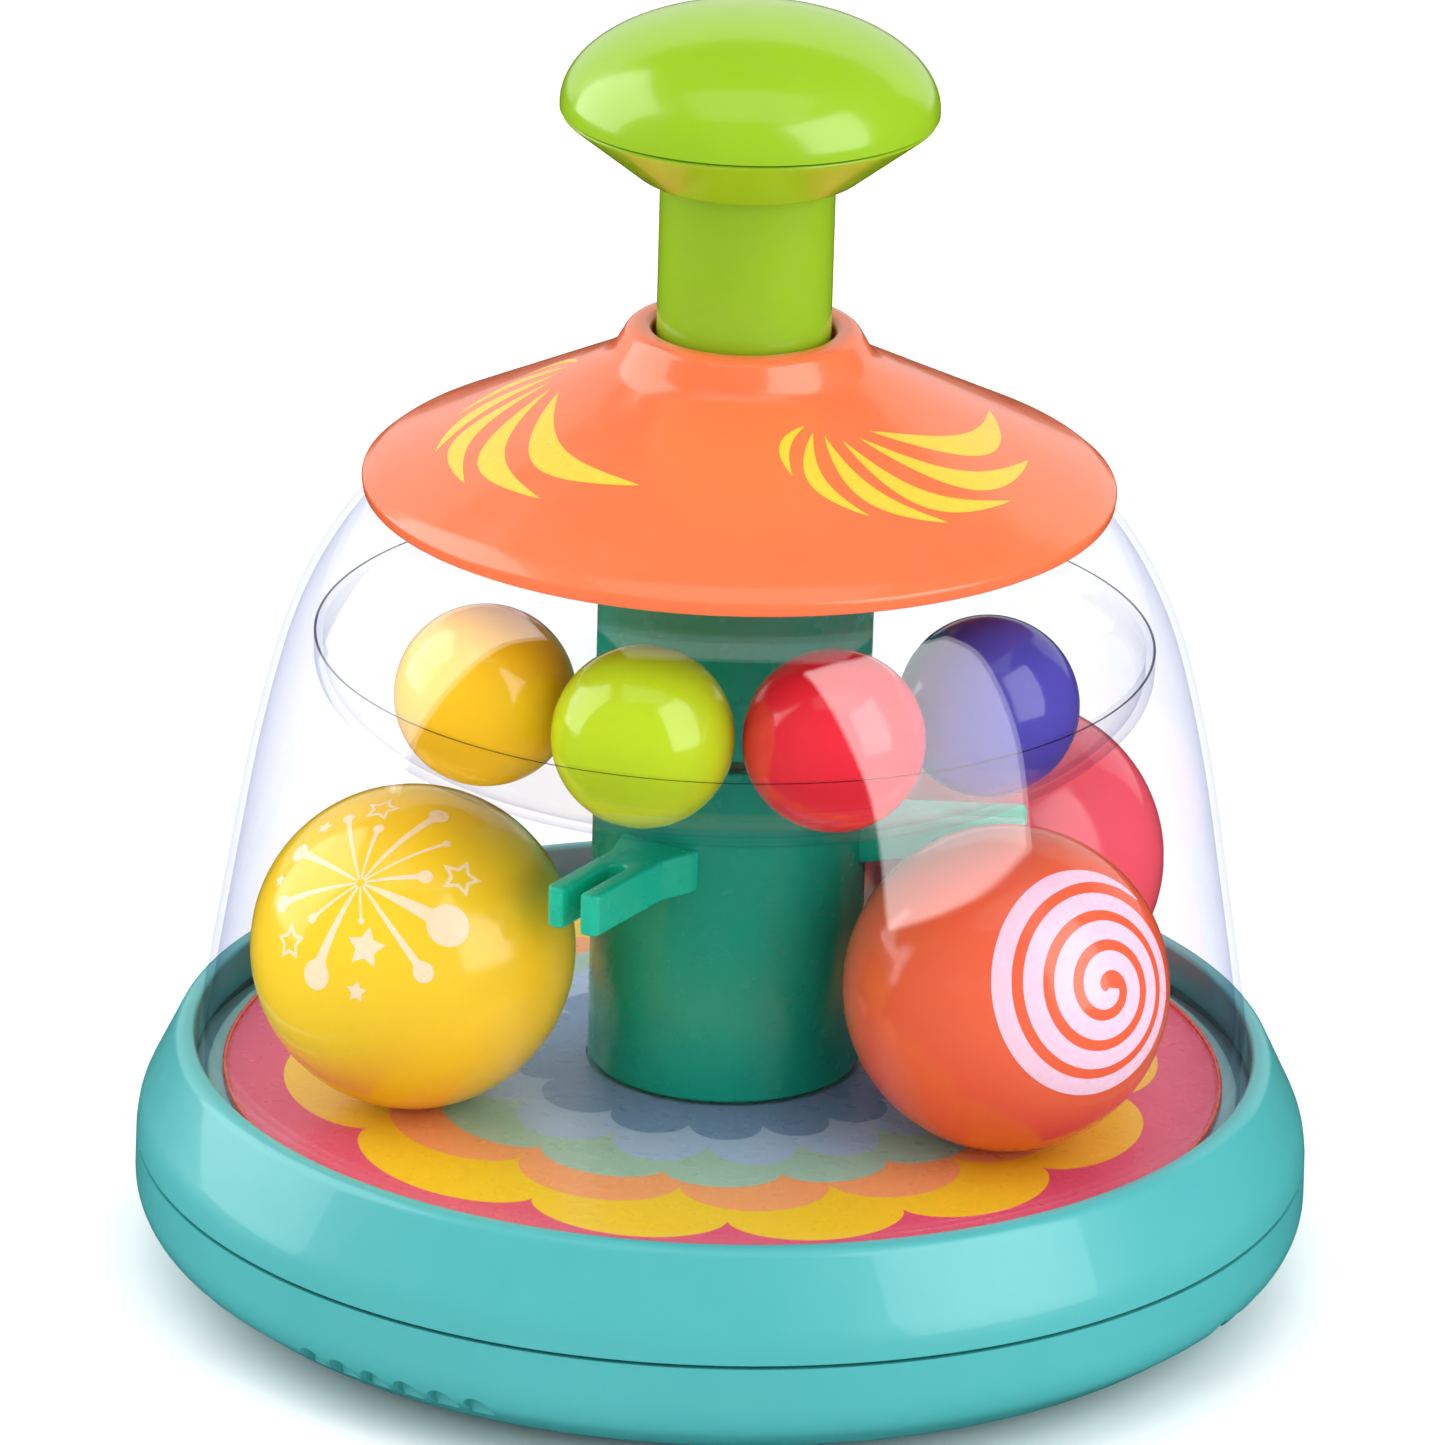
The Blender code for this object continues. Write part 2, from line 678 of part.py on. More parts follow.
def make_return_spring(steel):
    """A coil spring from the guide sleeve's floor up to the stem."""
    low = SLEEVE_BOTTOM_Z + 0.0024 + GAP + SPRING_WIRE / 2
    high = PLUNGER_BOTTOM_Z - GAP - SPRING_WIRE / 2
    count = SPRING_TURNS * STEPS_SMALL
    curve = bpy.data.curves.new("return_spring", "CURVE")
    curve.dimensions = "3D"
    curve.bevel_depth = SPRING_WIRE / 2
    curve.bevel_resolution = 0
    curve.use_fill_caps = True
    spline = curve.splines.new("POLY")
    spline.points.add(count)
    for i, point in enumerate(spline.points):
        turn = tau * SPRING_TURNS * i / count
        lift = low + (high - low) * i / count
        point.co = (SPRING_RADIUS * cos(turn), SPRING_RADIUS * sin(turn), lift, 1)
    curve.materials.append(steel)
    spring = bpy.data.objects.new("return_spring", curve)
    PARTS.objects.link(spring)


# ---------------------------------------------------------------- drive rod and clutch


def make_drive_rod(steel, drive):
    """A round shaft whose upper part is a flat strip, twisted once in each press."""
    shaft = [
        (0, STRIP_LOW_Z + 0.0030),
        (ROD_RADIUS, STRIP_LOW_Z),
        (ROD_RADIUS, RATCHET_LOW_Z - 0.0006),
        (0.0068, RATCHET_LOW_Z - 0.0006),
        (0.0068, 0.0584),
        (0, 0.0584),
    ]
    rod = turned("drive_rod", shaft, steel, STEPS_SMALL, closed=False, parent=drive)
    strip = twisted_strip("rod_strip", 0.0, STRIP_LOW_Z - 0.0020, ROD_TOP_Z, cutter=True)
    boolean(rod, strip, "UNION")


def make_ratchet_hub(material, drive):
    """The hub on the rod, whose three springy pawls push the toothed ring one way only."""
    reach = 0.0180
    outline = []
    for i in range(3):
        base = 120 * i
        outline += [polar(base + a, 0.0100)[:2] for a in (0, 20, 40, 60)]
        outline += [polar(base + a, r)[:2] for a, r in ((82, 0.0140), (100, 0.0165), (114, reach))]
        outline += [polar(base + a, r)[:2] for a, r in ((119, reach - 0.0006), (112, 0.0153), (96, 0.0125))]
    hub = extruded("ratchet_hub", outline, RATCHET_LOW_Z, RATCHET_HEIGHT, material, parent=drive)
    bore = rod_mesh("hub_bore", ROD_RADIUS + GAP, RATCHET_LOW_Z - 0.0050, RATCHET_LOW_Z + 0.0150)
    boolean(hub, add_object("hub_bore", bore, cutter=True))


def make_ratchet_ring(material, rotor):
    """The ring inside the column, with saw teeth that the pawls catch."""
    outer = COLUMN_RADIUS - COLUMN_WALL - GAP
    root = 0.0198
    tip = 0.0184
    low = RATCHET_LOW_Z - 0.0006
    height = RATCHET_HEIGHT + 0.0012
    body = rod_mesh("ratchet_ring", outer, low, low + height, STEPS_LARGE)
    ring = add_object("ratchet_ring", body, material, parent=rotor)
    pitch = 360 / RATCHET_TEETH
    outline = []
    for i in range(RATCHET_TEETH):
        start = i * pitch + RATCHET_PHASE
        tooth = [(start, tip), (start + 1.0, root), (start + pitch * 0.5, root)]
        outline += [polar(azimuth, radius)[:2] for azimuth, radius in tooth]
    boolean(ring, extruded("ring_teeth", outline, low - 0.002, height + 0.004, cutter=True))


# ---------------------------------------------------------------- rotor


def make_column(material, bush_material, rotor):
    inner = COLUMN_RADIUS - COLUMN_WALL
    hub = 0.0105
    bore = 0.0078
    lower = [
        (inner, BOWL_SEAT_Z - GAP),
        (COLUMN_RADIUS, BOWL_SEAT_Z - GAP),
        (COLUMN_RADIUS, COLUMN_FOOT_Z + 0.0006),
        (COLUMN_RADIUS - 0.0006, COLUMN_FOOT_Z),
        (inner, COLUMN_FOOT_Z),
        (inner, 0.0460),
        (hub, 0.0460),
        (hub, 0.0424),
        (bore, 0.0424),
        (bore, 0.0570),
        (hub, 0.0570),
        (hub, 0.0486),
        (inner, 0.0486),
    ]
    column = turned("column_lower", lower, material, STEPS_MEDIUM, parent=rotor)
    slots = []
    for azimuth in ARM_AZIMUTHS:
        size = (0.0080, 2 * (ARM_TENON + GAP), ARM_HEIGHT - 0.0020 + 2 * GAP)
        slot = box_mesh("arm_slot", size, (COLUMN_RADIUS, 0, ARM_LOW_Z + ARM_HEIGHT / 2))
        slots.append(moved(slot, azimuth))
    boolean(column, add_object("arm_slots", joined_mesh("arm_slots", slots), cutter=True))
    seat = BOWL_SEAT_Z + BOWL_WALL + GAP
    spigot = inner - GAP
    upper = [
        (spigot - 0.0018, COLUMN_TOP_Z),
        (COLUMN_RADIUS, COLUMN_TOP_Z),
        (COLUMN_RADIUS, seat),
        (spigot, seat),
        (spigot, BOWL_SEAT_Z - 0.0100),
        (spigot - 0.0018, BOWL_SEAT_Z - 0.0100),
    ]
    turned("column_upper", upper, material, STEPS_MEDIUM, parent=rotor)
    bush = [
        (PIVOT_RADIUS + GAP, 0.0574),
        (bore - GAP, 0.0574),
        (bore - GAP, 0.0420),
        (PIVOT_RADIUS + GAP, 0.0420),
    ]
    turned("bearing_bush", bush, bush_material, STEPS_SMALL, parent=rotor)


def make_arms(material, rotor):
    """Three forks that reach over the floor between the big balls and push them round."""
    half = 0.0056
    slot_half = 0.0019
    slot_end = 0.0410
    face = 0.0265
    side = [
        (0.0222, -ARM_TENON, 0),
        (face, -ARM_TENON, 0),
        (face + 0.0002, -0.0074, 0),
        (0.0335, -half, 0.0090),
        (ARM_REACH, -half, 0.0014),
        (ARM_REACH, -slot_half, 0.0004),
    ]
    right = rounded(side)
    slot = arc((slot_end, 0), slot_half, -90, 90, 4)
    slot = [(2 * slot_end - x, y) for x, y in slot]
    outline = right + slot + [(x, -y) for x, y in reversed(right)]
    for i, azimuth in enumerate(ARM_AZIMUTHS, 1):
        arm = extruded(f"arm_{i}", outline, ARM_LOW_Z, ARM_HEIGHT, material, parent=rotor)
        arm.rotation_euler.z = radians(azimuth)
        tall = box_mesh("tenon_trim", (0.0100, 0.0200, 0.0200), (face - 0.0050, 0, 0))
        above = tall.copy()
        above.transform(Matrix.Translation((0, 0, ARM_LOW_Z + ARM_HEIGHT + 0.0090)))
        tall.transform(Matrix.Translation((0, 0, ARM_LOW_Z - 0.0090)))
        trim = add_object(f"arm_{i}_trim", joined_mesh("tenon_trim", [tall, above]), cutter=True)
        trim.rotation_euler.z = radians(azimuth)
        boolean(arm, trim)


def make_bowl(material, rotor):
    """The clear bowl that carries the small balls round the column."""
    outer = rounded(
        [
            (BOWL_RIM_RADIUS, BOWL_RIM_Z, 0),
            (BOWL_RIM_RADIUS - 0.0001, 0.1190, 0.0090),
            (0.0725, 0.1113, 0.0250),
            (0.0600, BOWL_LOW_Z, 0.0250),
            (0.0450, BOWL_LOW_Z, 0.0200),
            (COLUMN_RADIUS - COLUMN_WALL, BOWL_SEAT_Z, 0),
        ]
    )
    turned("bowl", outer, material, STEPS_LARGE, closed=False, wall=BOWL_WALL, parent=rotor)


# ---------------------------------------------------------------- balls


def make_ball(name, radius, wall, hole, material, location, parent, steps, rings):
    """A hollow ball with a small moulding hole at its top."""
    start = degrees(asin(hole / radius))
    outer = arc((0, 0), radius, 90 - start, -90, rings)
    turned(name, outer, material, steps, closed=False, wall=wall, location=location, parent=parent)


def make_balls(rotor, colors):
    rest = floor_z(BIG_BALL_ORBIT) + BIG_BALL_RADIUS + GAP
    for i, azimuth in enumerate(BIG_BALL_AZIMUTHS, 1):
        place = polar(azimuth, BIG_BALL_ORBIT, rest)
        roll = joint_empty(f"big_ball_{i}_axis", place, rotor)
        material = colors[f"big_ball_{i}"]
        make_ball(f"big_ball_{i}", BIG_BALL_RADIUS, 0.0016, 0.0010, material, place, roll, 16, 8)
    orbit = joint_empty("small_ball_orbit", (0, 0, SMALL_BALL_Z), rotor)
    for i, azimuth in enumerate(SMALL_BALL_AZIMUTHS, 1):
        place = polar(azimuth, SMALL_BALL_ORBIT, SMALL_BALL_Z)
        material = colors[f"small_ball_{i}"]
        make_ball(f"small_ball_{i}", SMALL_BALL_RADIUS, 0.0014, 0.0008, material, place, orbit, 12, 6)


# ---------------------------------------------------------------- assembly


def main():
    turquoise = plastic("turquoise", (0.02, 0.52, 0.47), 0.22)
    teal = plastic("teal", (0.01, 0.31, 0.20), 0.25)
    coral = plastic("coral", (0.87, 0.15, 0.05), 0.2)
    lime = plastic("lime", (0.26, 0.58, 0.02), 0.2)
    clear = plastic("clear", (0.9, 0.95, 1.0), 0.05, alpha=0.2)
    printed = plastic("printed_sheet", (0.75, 0.15, 0.25), 0.35)
    nylon = plastic("white_nylon", (0.8, 0.8, 0.78), 0.45)
    steel = plastic("steel", (0.6, 0.6, 0.62), 0.25, metallic=1.0)
    rubber = plastic("rubber", (0.05, 0.05, 0.05), 0.8)
    balls = {
        "big_ball_1": plastic("yellow", (0.95, 0.55, 0.01)),
        "big_ball_2": plastic("orange", (0.87, 0.12, 0.04)),
        "big_ball_3": plastic("red_pink", (0.8, 0.06, 0.1)),
        "small_ball_1": plastic("amber", (0.95, 0.47, 0.01)),
        "small_ball_2": plastic("yellow_green", (0.55, 0.75, 0.02)),
        "small_ball_3": plastic("raspberry", (0.85, 0.04, 0.07)),
        "small_ball_4": plastic("violet", (0.12, 0.1, 0.45)),
    }
    plunger = joint_empty("plunger_axis", (0, 0, PLUNGER_BOTTOM_Z))
    drive = joint_empty("drive_axis", (0, 0, RATCHET_LOW_Z))
    rotor = joint_empty("rotor_axis", (0, 0, COLUMN_FOOT_Z), drive)
    make_base_pan(turquoise)
    make_base_ring(turquoise)
    make_base_screws(steel)
    make_feet(rubber)
    make_floor(turquoise, printed)
    make_pivot(steel, nylon)
    dome = make_dome(clear)
    make_hat(coral)
    make_hat_screws(dome, steel)
    make_guide_sleeve(nylon)
    make_knob(lime, steel, plunger)
    make_plunger_tube(lime, plunger)
    make_drive_nut(nylon, plunger)
    make_return_spring(steel)
    make_drive_rod(steel, drive)
    make_ratchet_hub(nylon, drive)
    make_ratchet_ring(nylon, rotor)
    make_column(teal, nylon, rotor)
    make_arms(teal, rotor)
    make_bowl(clear, rotor)
    make_balls(rotor, balls)
    settle(PARTS)


clear_scene()
PARTS = new_collection(PART_NAME)
CUTTERS = new_collection("cutters")
main()
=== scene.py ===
from bisect import bisect
from math import ceil, cos, pi, radians, sin, sqrt, tau

import bmesh
import bpy
from mathutils import Matrix, Vector


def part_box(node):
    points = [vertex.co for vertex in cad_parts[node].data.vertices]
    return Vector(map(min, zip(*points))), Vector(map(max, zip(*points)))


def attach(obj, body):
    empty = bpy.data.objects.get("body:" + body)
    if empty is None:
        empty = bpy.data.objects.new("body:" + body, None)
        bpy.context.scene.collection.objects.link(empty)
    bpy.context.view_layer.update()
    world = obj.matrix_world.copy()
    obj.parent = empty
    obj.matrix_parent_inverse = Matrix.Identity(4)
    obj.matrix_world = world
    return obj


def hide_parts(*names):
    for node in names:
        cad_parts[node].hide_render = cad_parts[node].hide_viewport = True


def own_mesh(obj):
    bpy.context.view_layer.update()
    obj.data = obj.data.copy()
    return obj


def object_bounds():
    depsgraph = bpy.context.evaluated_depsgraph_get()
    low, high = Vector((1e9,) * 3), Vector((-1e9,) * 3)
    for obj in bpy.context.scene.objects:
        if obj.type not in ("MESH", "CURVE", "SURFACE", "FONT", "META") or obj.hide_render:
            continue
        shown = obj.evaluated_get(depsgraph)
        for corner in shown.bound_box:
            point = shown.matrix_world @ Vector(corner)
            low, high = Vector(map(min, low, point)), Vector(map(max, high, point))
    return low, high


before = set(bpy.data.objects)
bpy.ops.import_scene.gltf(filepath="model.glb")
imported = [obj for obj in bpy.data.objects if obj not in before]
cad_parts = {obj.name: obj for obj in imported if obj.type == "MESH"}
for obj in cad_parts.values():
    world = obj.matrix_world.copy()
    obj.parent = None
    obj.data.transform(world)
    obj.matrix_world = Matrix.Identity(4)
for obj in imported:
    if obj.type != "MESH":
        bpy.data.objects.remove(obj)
CAD_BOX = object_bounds()

MM = 0.001
STEPS = 192
ARC_STEP = radians(7)
ON_AXIS = 0.04 * MM
LIFT = 0.04 * MM
PRINT_DEPTH = 0.10 * MM
CENTRE = (CAD_BOX[0] + CAD_BOX[1]) / 2


# ---------------------------------------------------------------- places from the frame


def radius_of(node):
    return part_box(node)[1].x


def low_of(node):
    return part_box(node)[0].z


def top_of(node):
    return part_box(node)[1].z


def middle_of(node):
    low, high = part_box(node)
    return (low + high) / 2


BASE_RADIUS = radius_of("base_pan")
RING_TOP = top_of("base_ring")
SEAM_HIGH = low_of("base_ring")
SEAM_LOW = SEAM_HIGH - 0.6 * MM
DOME_TOP = top_of("dome")
HAT_RADIUS = radius_of("hat")
HAT_LOW = low_of("hat")
COLLAR_TOP = top_of("hat")
STEM_RADIUS = radius_of("plunger_tube")
KNOB_RADIUS = radius_of("knob_cap")
KNOB_TOP = top_of("knob_cap")
COLUMN_RADIUS = radius_of("column_lower")
BOWL_RADIUS = radius_of("bowl")
BOWL_TOP = top_of("bowl")
BOWL_LOW = low_of("bowl")
DISC_RADIUS = radius_of("printed_disc")
DISC_TOP = top_of("printed_disc")
BIG_BALL_RADIUS = (top_of("big_ball_1") - low_of("big_ball_1")) / 2


# ---------------------------------------------------------------- node materials


class Graph:
    """A material's node tree, with short calls for the nodes that the materials share."""

    def __init__(self, name):
        self.material = bpy.data.materials.new(name)
        self.material.use_nodes = True
        self.tree = self.material.node_tree
        self.tree.nodes.clear()
        self.place = self.node("ShaderNodeTexCoord").outputs["Object"]

    def node(self, kind, inputs=None, **settings):
        node = self.tree.nodes.new(kind)
        for name, value in settings.items():
            setattr(node, name, value)
        for name, value in (inputs or {}).items():
            self.set(node.inputs[name], value)
        return node

    def set(self, socket, value):
        if isinstance(value, bpy.types.NodeSocket):
            self.tree.links.new(value, socket)
        else:
            socket.default_value = value

    def math(self, operation, *values):
        node = self.node("ShaderNodeMath", operation=operation)
        for socket, value in zip(node.inputs, values):
            self.set(socket, value)
        return node.outputs[0]

    def noise(self, scale, detail=2.0, roughness=0.5):
        inputs = {"Vector": self.place, "Scale": scale, "Detail": detail, "Roughness": roughness}
        return self.node("ShaderNodeTexNoise", inputs).outputs["Fac"]

    def blend(self, factor, first, second):
        node = self.node("ShaderNodeMix", data_type="RGBA", blend_type="MIX")
        self.set(node.inputs["Factor"], factor)
        self.set(node.inputs["A"], first)
        self.set(node.inputs["B"], second)
        return node.outputs["Result"]

    def between(self, value, low, high):
        """A value of about 0 to 1 spread over a range."""
        inputs = {"Value": value, "From Min": 0.3, "From Max": 0.7, "To Min": low, "To Max": high}
        return self.node("ShaderNodeMapRange", inputs).outputs["Result"]

    def bump(self, height, distance, strength=1.0):
        inputs = {"Height": height, "Distance": distance, "Strength": strength}
        return self.node("ShaderNodeBump", inputs).outputs["Normal"]

    def finish(self, shader):
        self.node("ShaderNodeOutputMaterial", {"Surface": shader.outputs[0]})
        return self.material


PLASTIC_IOR = 1.49


def srgb(text):
    """A colour written as six hex digits, in linear light."""
    values = [int(text[i : i + 2], 16) / 255 for i in (0, 2, 4)]
    return (*[v / 12.92 if v <= 0.04045 else ((v + 0.055) / 1.055) ** 2.4 for v in values], 1.0)


def moulded(name, color, shade, rough=(0.16, 0.24), grain=0.02 * MM, coat=0.0, subsurface=0.0):
    """Glossy moulded plastic: slow colour drift, faint flow marks and an orange-peel skin."""
    graph = Graph(name)
    drift = graph.between(graph.noise(22.0, 3.0), 0.0, 1.0)
    flecks = graph.between(graph.noise(900.0, 1.0), 0.0, 0.25)
    base = graph.blend(drift, srgb(color), srgb(shade))
    base = graph.blend(flecks, base, srgb(shade))
    rough_map = graph.between(graph.noise(160.0, 4.0), *rough)
    skin = graph.math("ADD", graph.noise(420.0, 2.0), graph.math("MULTIPLY", graph.noise(60.0), 2.0))
    inputs = {"Base Color": base, "Roughness": rough_map, "Normal": graph.bump(skin, grain, 0.5)}
    inputs["IOR"] = PLASTIC_IOR
    inputs["Coat Weight"] = coat
    inputs["Coat Roughness"] = 0.06
    inputs["Subsurface Weight"] = subsurface
    inputs["Subsurface Radius"] = (0.004, 0.003, 0.002)
    return graph.finish(graph.node("ShaderNodeBsdfPrincipled", inputs))


# How much of the light a clear surface mirrors where it is seen face on.
CLEAR_GLOSS = 0.06


def clear(name, tint, edge_tint, power=4.0, rough=0.04, grazing=0.08):
    """Clear thin plastic: a cool tint, and a gloss, that grow as the surface turns edge-on."""
    graph = Graph(name)
    ripple = graph.bump(graph.noise(14.0, 2.0), 0.10 * MM, 0.35)
    facing = graph.node("ShaderNodeLayerWeight", {"Blend": 0.5}).outputs["Facing"]
    slant = graph.math("POWER", facing, power)
    haze = graph.math("MULTIPLY", graph.between(graph.noise(30.0), 0.9, 1.0), slant)
    color = graph.blend(haze, srgb(tint), srgb(edge_tint))
    through = graph.node("ShaderNodeBsdfTransparent", {"Color": color})
    gloss = graph.node("ShaderNodeBsdfGlossy", {"Roughness": rough, "Normal": ripple})
    share = graph.math("MULTIPLY_ADD", graph.math("POWER", facing, 5.0), grazing, CLEAR_GLOSS)
    mix = graph.node("ShaderNodeMixShader", {0: share, 1: through.outputs[0], 2: gloss.outputs[0]})
    return graph.finish(mix)


def metal(name, color, rough=(0.22, 0.34), scale=(200.0, 200.0, 1500.0)):
    """Drawn or turned steel, with fine lines across its length."""
    graph = Graph(name)
    stretched = graph.node("ShaderNodeMapping", {"Vector": graph.place, "Scale": scale}).outputs[0]
    inputs = {"Vector": stretched, "Scale": 1.0, "Detail": 3.0}
    lines = graph.node("ShaderNodeTexNoise", inputs).outputs["Fac"]
    base = graph.blend(graph.between(lines, 0.0, 0.4), srgb(color), srgb("8c8f96"))
    inputs = {"Base Color": base, "Metallic": 1.0, "Roughness": graph.between(lines, *rough)}
    inputs["Normal"] = graph.bump(lines, 0.01 * MM, 0.4)
    return graph.finish(graph.node("ShaderNodeBsdfPrincipled", inputs))


def ink(name, color, shade):
    """Pad-printed ink: flat, slightly uneven in density, a little rougher than the plastic."""
    graph = Graph(name)
    density = graph.between(graph.noise(260.0, 4.0, 0.6), 0.0, 0.5)
    base = graph.blend(density, srgb(color), srgb(shade))
    inputs = {"Base Color": base, "Roughness": graph.between(graph.noise(500.0), 0.22, 0.34)}
    inputs["IOR"] = PLASTIC_IOR
    inputs["Normal"] = graph.bump(graph.noise(800.0), 0.01 * MM, 0.3)
    return graph.finish(graph.node("ShaderNodeBsdfPrincipled", inputs))


# The printed rings, from the outside in: colour, petals in a turn, phase in degrees, valley radius
# and petal height in millimetres.
PRINT_GROUND = "e4577a"
PRINT_RINGS = (
    ("f8cf2c", 12, -150.0, 75.8, 8.8),
    ("faa86c", 12, -159.0, 62.0, 9.6),
    ("a6cbb8", 14, -129.0, 55.9, 5.6),
    ("adc6e8", 14, -120.5, 43.0, 9.0),
    ("7c9ac4", 14, -128.0, 34.8, 6.4),
)


def petal_edge(graph, angle, count, phase, valley, height):
    """The radius of a scalloped edge at an angle: round petals that meet in sharp valleys."""
    turn = graph.math("MULTIPLY_ADD", angle, count / 360, -phase * count / 360)
    across = graph.math("MULTIPLY_ADD", graph.math("FRACT", turn), 2.0, -1.0)
    square = graph.math("MULTIPLY", across, across)
    bulge = graph.math("POWER", graph.math("SUBTRACT", 1.0, square), 0.6)
    return graph.math("MULTIPLY_ADD", bulge, height * MM, valley * MM)


def printed_sheet(name):
    """The printed disc: a flower of scalloped rings, in flat inks under a satin film."""
    graph = Graph(name)
    split = graph.node("ShaderNodeSeparateXYZ", {"Vector": graph.place})
    x, y = split.outputs["X"], split.outputs["Y"]
    square = graph.math("ADD", graph.math("MULTIPLY", x, x), graph.math("MULTIPLY", y, y))
    radius = graph.math("SQRT", square)
    plain = graph.math("MULTIPLY", graph.math("ARCTAN2", y, x), 180 / pi)
    swing = graph.math("COSINE", graph.math("MULTIPLY_ADD", plain, 2 * pi / 180, 44 * pi / 180))
    angle = graph.math("ADD", plain, graph.math("MULTIPLY_ADD", swing, 5.5, 2.5))
    color = srgb(PRINT_GROUND)
    for ring_color, count, phase, valley, height in PRINT_RINGS:
        edge = petal_edge(graph, angle, count, phase, valley, height)
        inside = graph.math("LESS_THAN", radius, edge)
        color = graph.blend(inside, color, srgb(ring_color))
    density = graph.between(graph.noise(340.0, 5.0, 0.65), 0.99, 1.01)
    inks = graph.node("ShaderNodeHueSaturation", {"Value": density, "Color": color}).outputs[0]
    inputs = {"Base Color": inks, "Roughness": graph.between(graph.noise(200.0, 3.0), 0.24, 0.34)}
    inputs["Normal"] = graph.bump(graph.noise(60.0), 0.01 * MM, 0.1)
    return graph.finish(graph.node("ShaderNodeBsdfPrincipled", inputs))


def make_materials():
    return {
        "turquoise_plastic": moulded("turquoise_plastic", "46aaaa", "40a4a4", (0.36, 0.42), coat=0.3),
        # A paler copy of the base's turquoise: painted light that lifts the shaded band of track plate
        # round the floor.
        "turquoise_painted_light": moulded("turquoise_painted_light", "a4e2e0", "9adcda", (0.3, 0.4)),
        "coral_plastic": moulded("coral_plastic", "ec7446", "e86c40", (0.18, 0.26), coat=0.25),
        "lime_plastic": moulded("lime_plastic", "92b922", "89b21a", (0.16, 0.26), coat=0.2),
        "teal_plastic": moulded("teal_plastic", "12ac90", "0ca286", (0.2, 0.3), coat=0.1),
        "teal_arm": moulded("teal_arm", "18d2b0", "14c8a6", (0.2, 0.3), coat=0.1),
        "clear_plastic": clear("clear_plastic", "ffffff", "eceefa"),
        # A dark grey see-through tint: painted shade for the bowl's cut rim, which is clear plastic.
        "clear_rim_painted_shade": clear("clear_rim_painted_shade", "8f8d96", "55525c", 1.0, 0.08),
        "printed_sheet": printed_sheet("printed_sheet"),
        "white_nylon": moulded("white_nylon", "e9e7df", "dcd9cf", (0.4, 0.5), subsurface=0.1),
        "steel": metal("steel", "c3c6cb"),
        "spring_steel": metal("spring_steel", "aab0b8", (0.2, 0.3), (900.0, 900.0, 120.0)),
        "foot_rubber": moulded("foot_rubber", "3c3c3f", "2c2c2f", (0.6, 0.8), 0.06 * MM),
        "yellow_ball": moulded("yellow_ball", "ffdb34", "ffd22c", (0.14, 0.2), coat=0.2),
        "orange_ball": moulded("orange_ball", "f46c48", "f06440", (0.14, 0.2), coat=0.2),
        "pink_ball": moulded("pink_ball", "f05c6c", "ec5264", (0.14, 0.2), coat=0.2),
        "amber_ball": moulded("amber_ball", "ffcc24", "ffc21c", (0.12, 0.18), coat=0.2),
        "lime_ball": moulded("lime_ball", "c0da28", "b5d41e", (0.12, 0.18), coat=0.2),
        "red_ball": moulded("red_ball", "ee3141", "e82637", (0.12, 0.18), coat=0.2),
        "violet_ball": moulded("violet_ball", "524cae", "4a44a4", (0.12, 0.18), coat=0.2),
        "cream_ink": ink("cream_ink", "ffe9c4", "fde2b6"),
        "pink_ink": ink("pink_ink", "fcd3e6", "fac8df"),
        "yellow_ink": ink("yellow_ink", "ffc03a", "fcb830"),
        "orange_bead": ink("orange_bead", "f0603a", "e85632"),
    }


# ---------------------------------------------------------------- mesh tools


def new_piece(name, mesh, material, body, replaces=()):
    """A piece of the object, shaded smooth with sharp corners, that rides on a body."""
    obj = bpy.data.objects.new(name, mesh)
    bpy.context.scene.collection.objects.link(obj)
    mesh.materials.append(MATERIALS[material])
    mesh.shade_smooth()
    mesh.set_sharp_from_angle(angle=radians(34))
    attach(obj, body)
    if replaces:
        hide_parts(*replaces)
    return obj


def rounded(corners, closed=False):
    """A polyline whose corners (x, y, radius) are rounded by fine arcs; all in millimetres."""
    points = []
    for i, (x, y, radius) in enumerate(corners):
        end = not closed and i in (0, len(corners) - 1)
        if end or radius == 0:
            points.append(Vector((x, y)))
            continue
        here = Vector((x, y))
        back = (Vector(corners[i - 1][:2]) - here).normalized()
        ahead = (Vector(corners[(i + 1) % len(corners)][:2]) - here).normalized()
        half = back.angle(ahead) / 2
        centre = here + (back + ahead).normalized() * (radius / sin(half))
        reach = radius * cos(half) / sin(half)
        first = here + back * reach - centre
        turn = first.angle_signed(here + ahead * reach - centre)
        count = max(2, ceil(abs(turn) / ARC_STEP))
        points += [centre + Matrix.Rotation(-turn * k / count, 2) @ first for k in range(count + 1)]
    return [(p.x * MM, p.y * MM) for p in points]


def flowing(points, count=10):
    """A smooth curve through points, which are in millimetres."""
    ends = [Vector(p) for p in points]
    ends = [2 * ends[0] - ends[1], *ends, 2 * ends[-1] - ends[-2]]
    curve = []
    for a, b, c, d in zip(ends, ends[1:], ends[2:], ends[3:]):
        for k in range(count):
            t = k / count
            bend = (2 * a - 5 * b + 4 * c - d) * t * t + (3 * b - a - 3 * c + d) * t**3
            curve.append((2 * b + (c - a) * t + bend) / 2)
    curve.append(ends[-2])
    return [(p.x * MM, p.y * MM) for p in curve]


def offset(points, distance):
    """The curve moved sideways; a positive distance is to its right."""
    moved = []
    for i, point in enumerate(points):
        before = Vector(points[max(i - 1, 0)])
        after = Vector(points[min(i + 1, len(points) - 1)])
        along = (after - before).normalized()
        moved.append((point[0] + along.y * distance, point[1] - along.x * distance))
    return moved


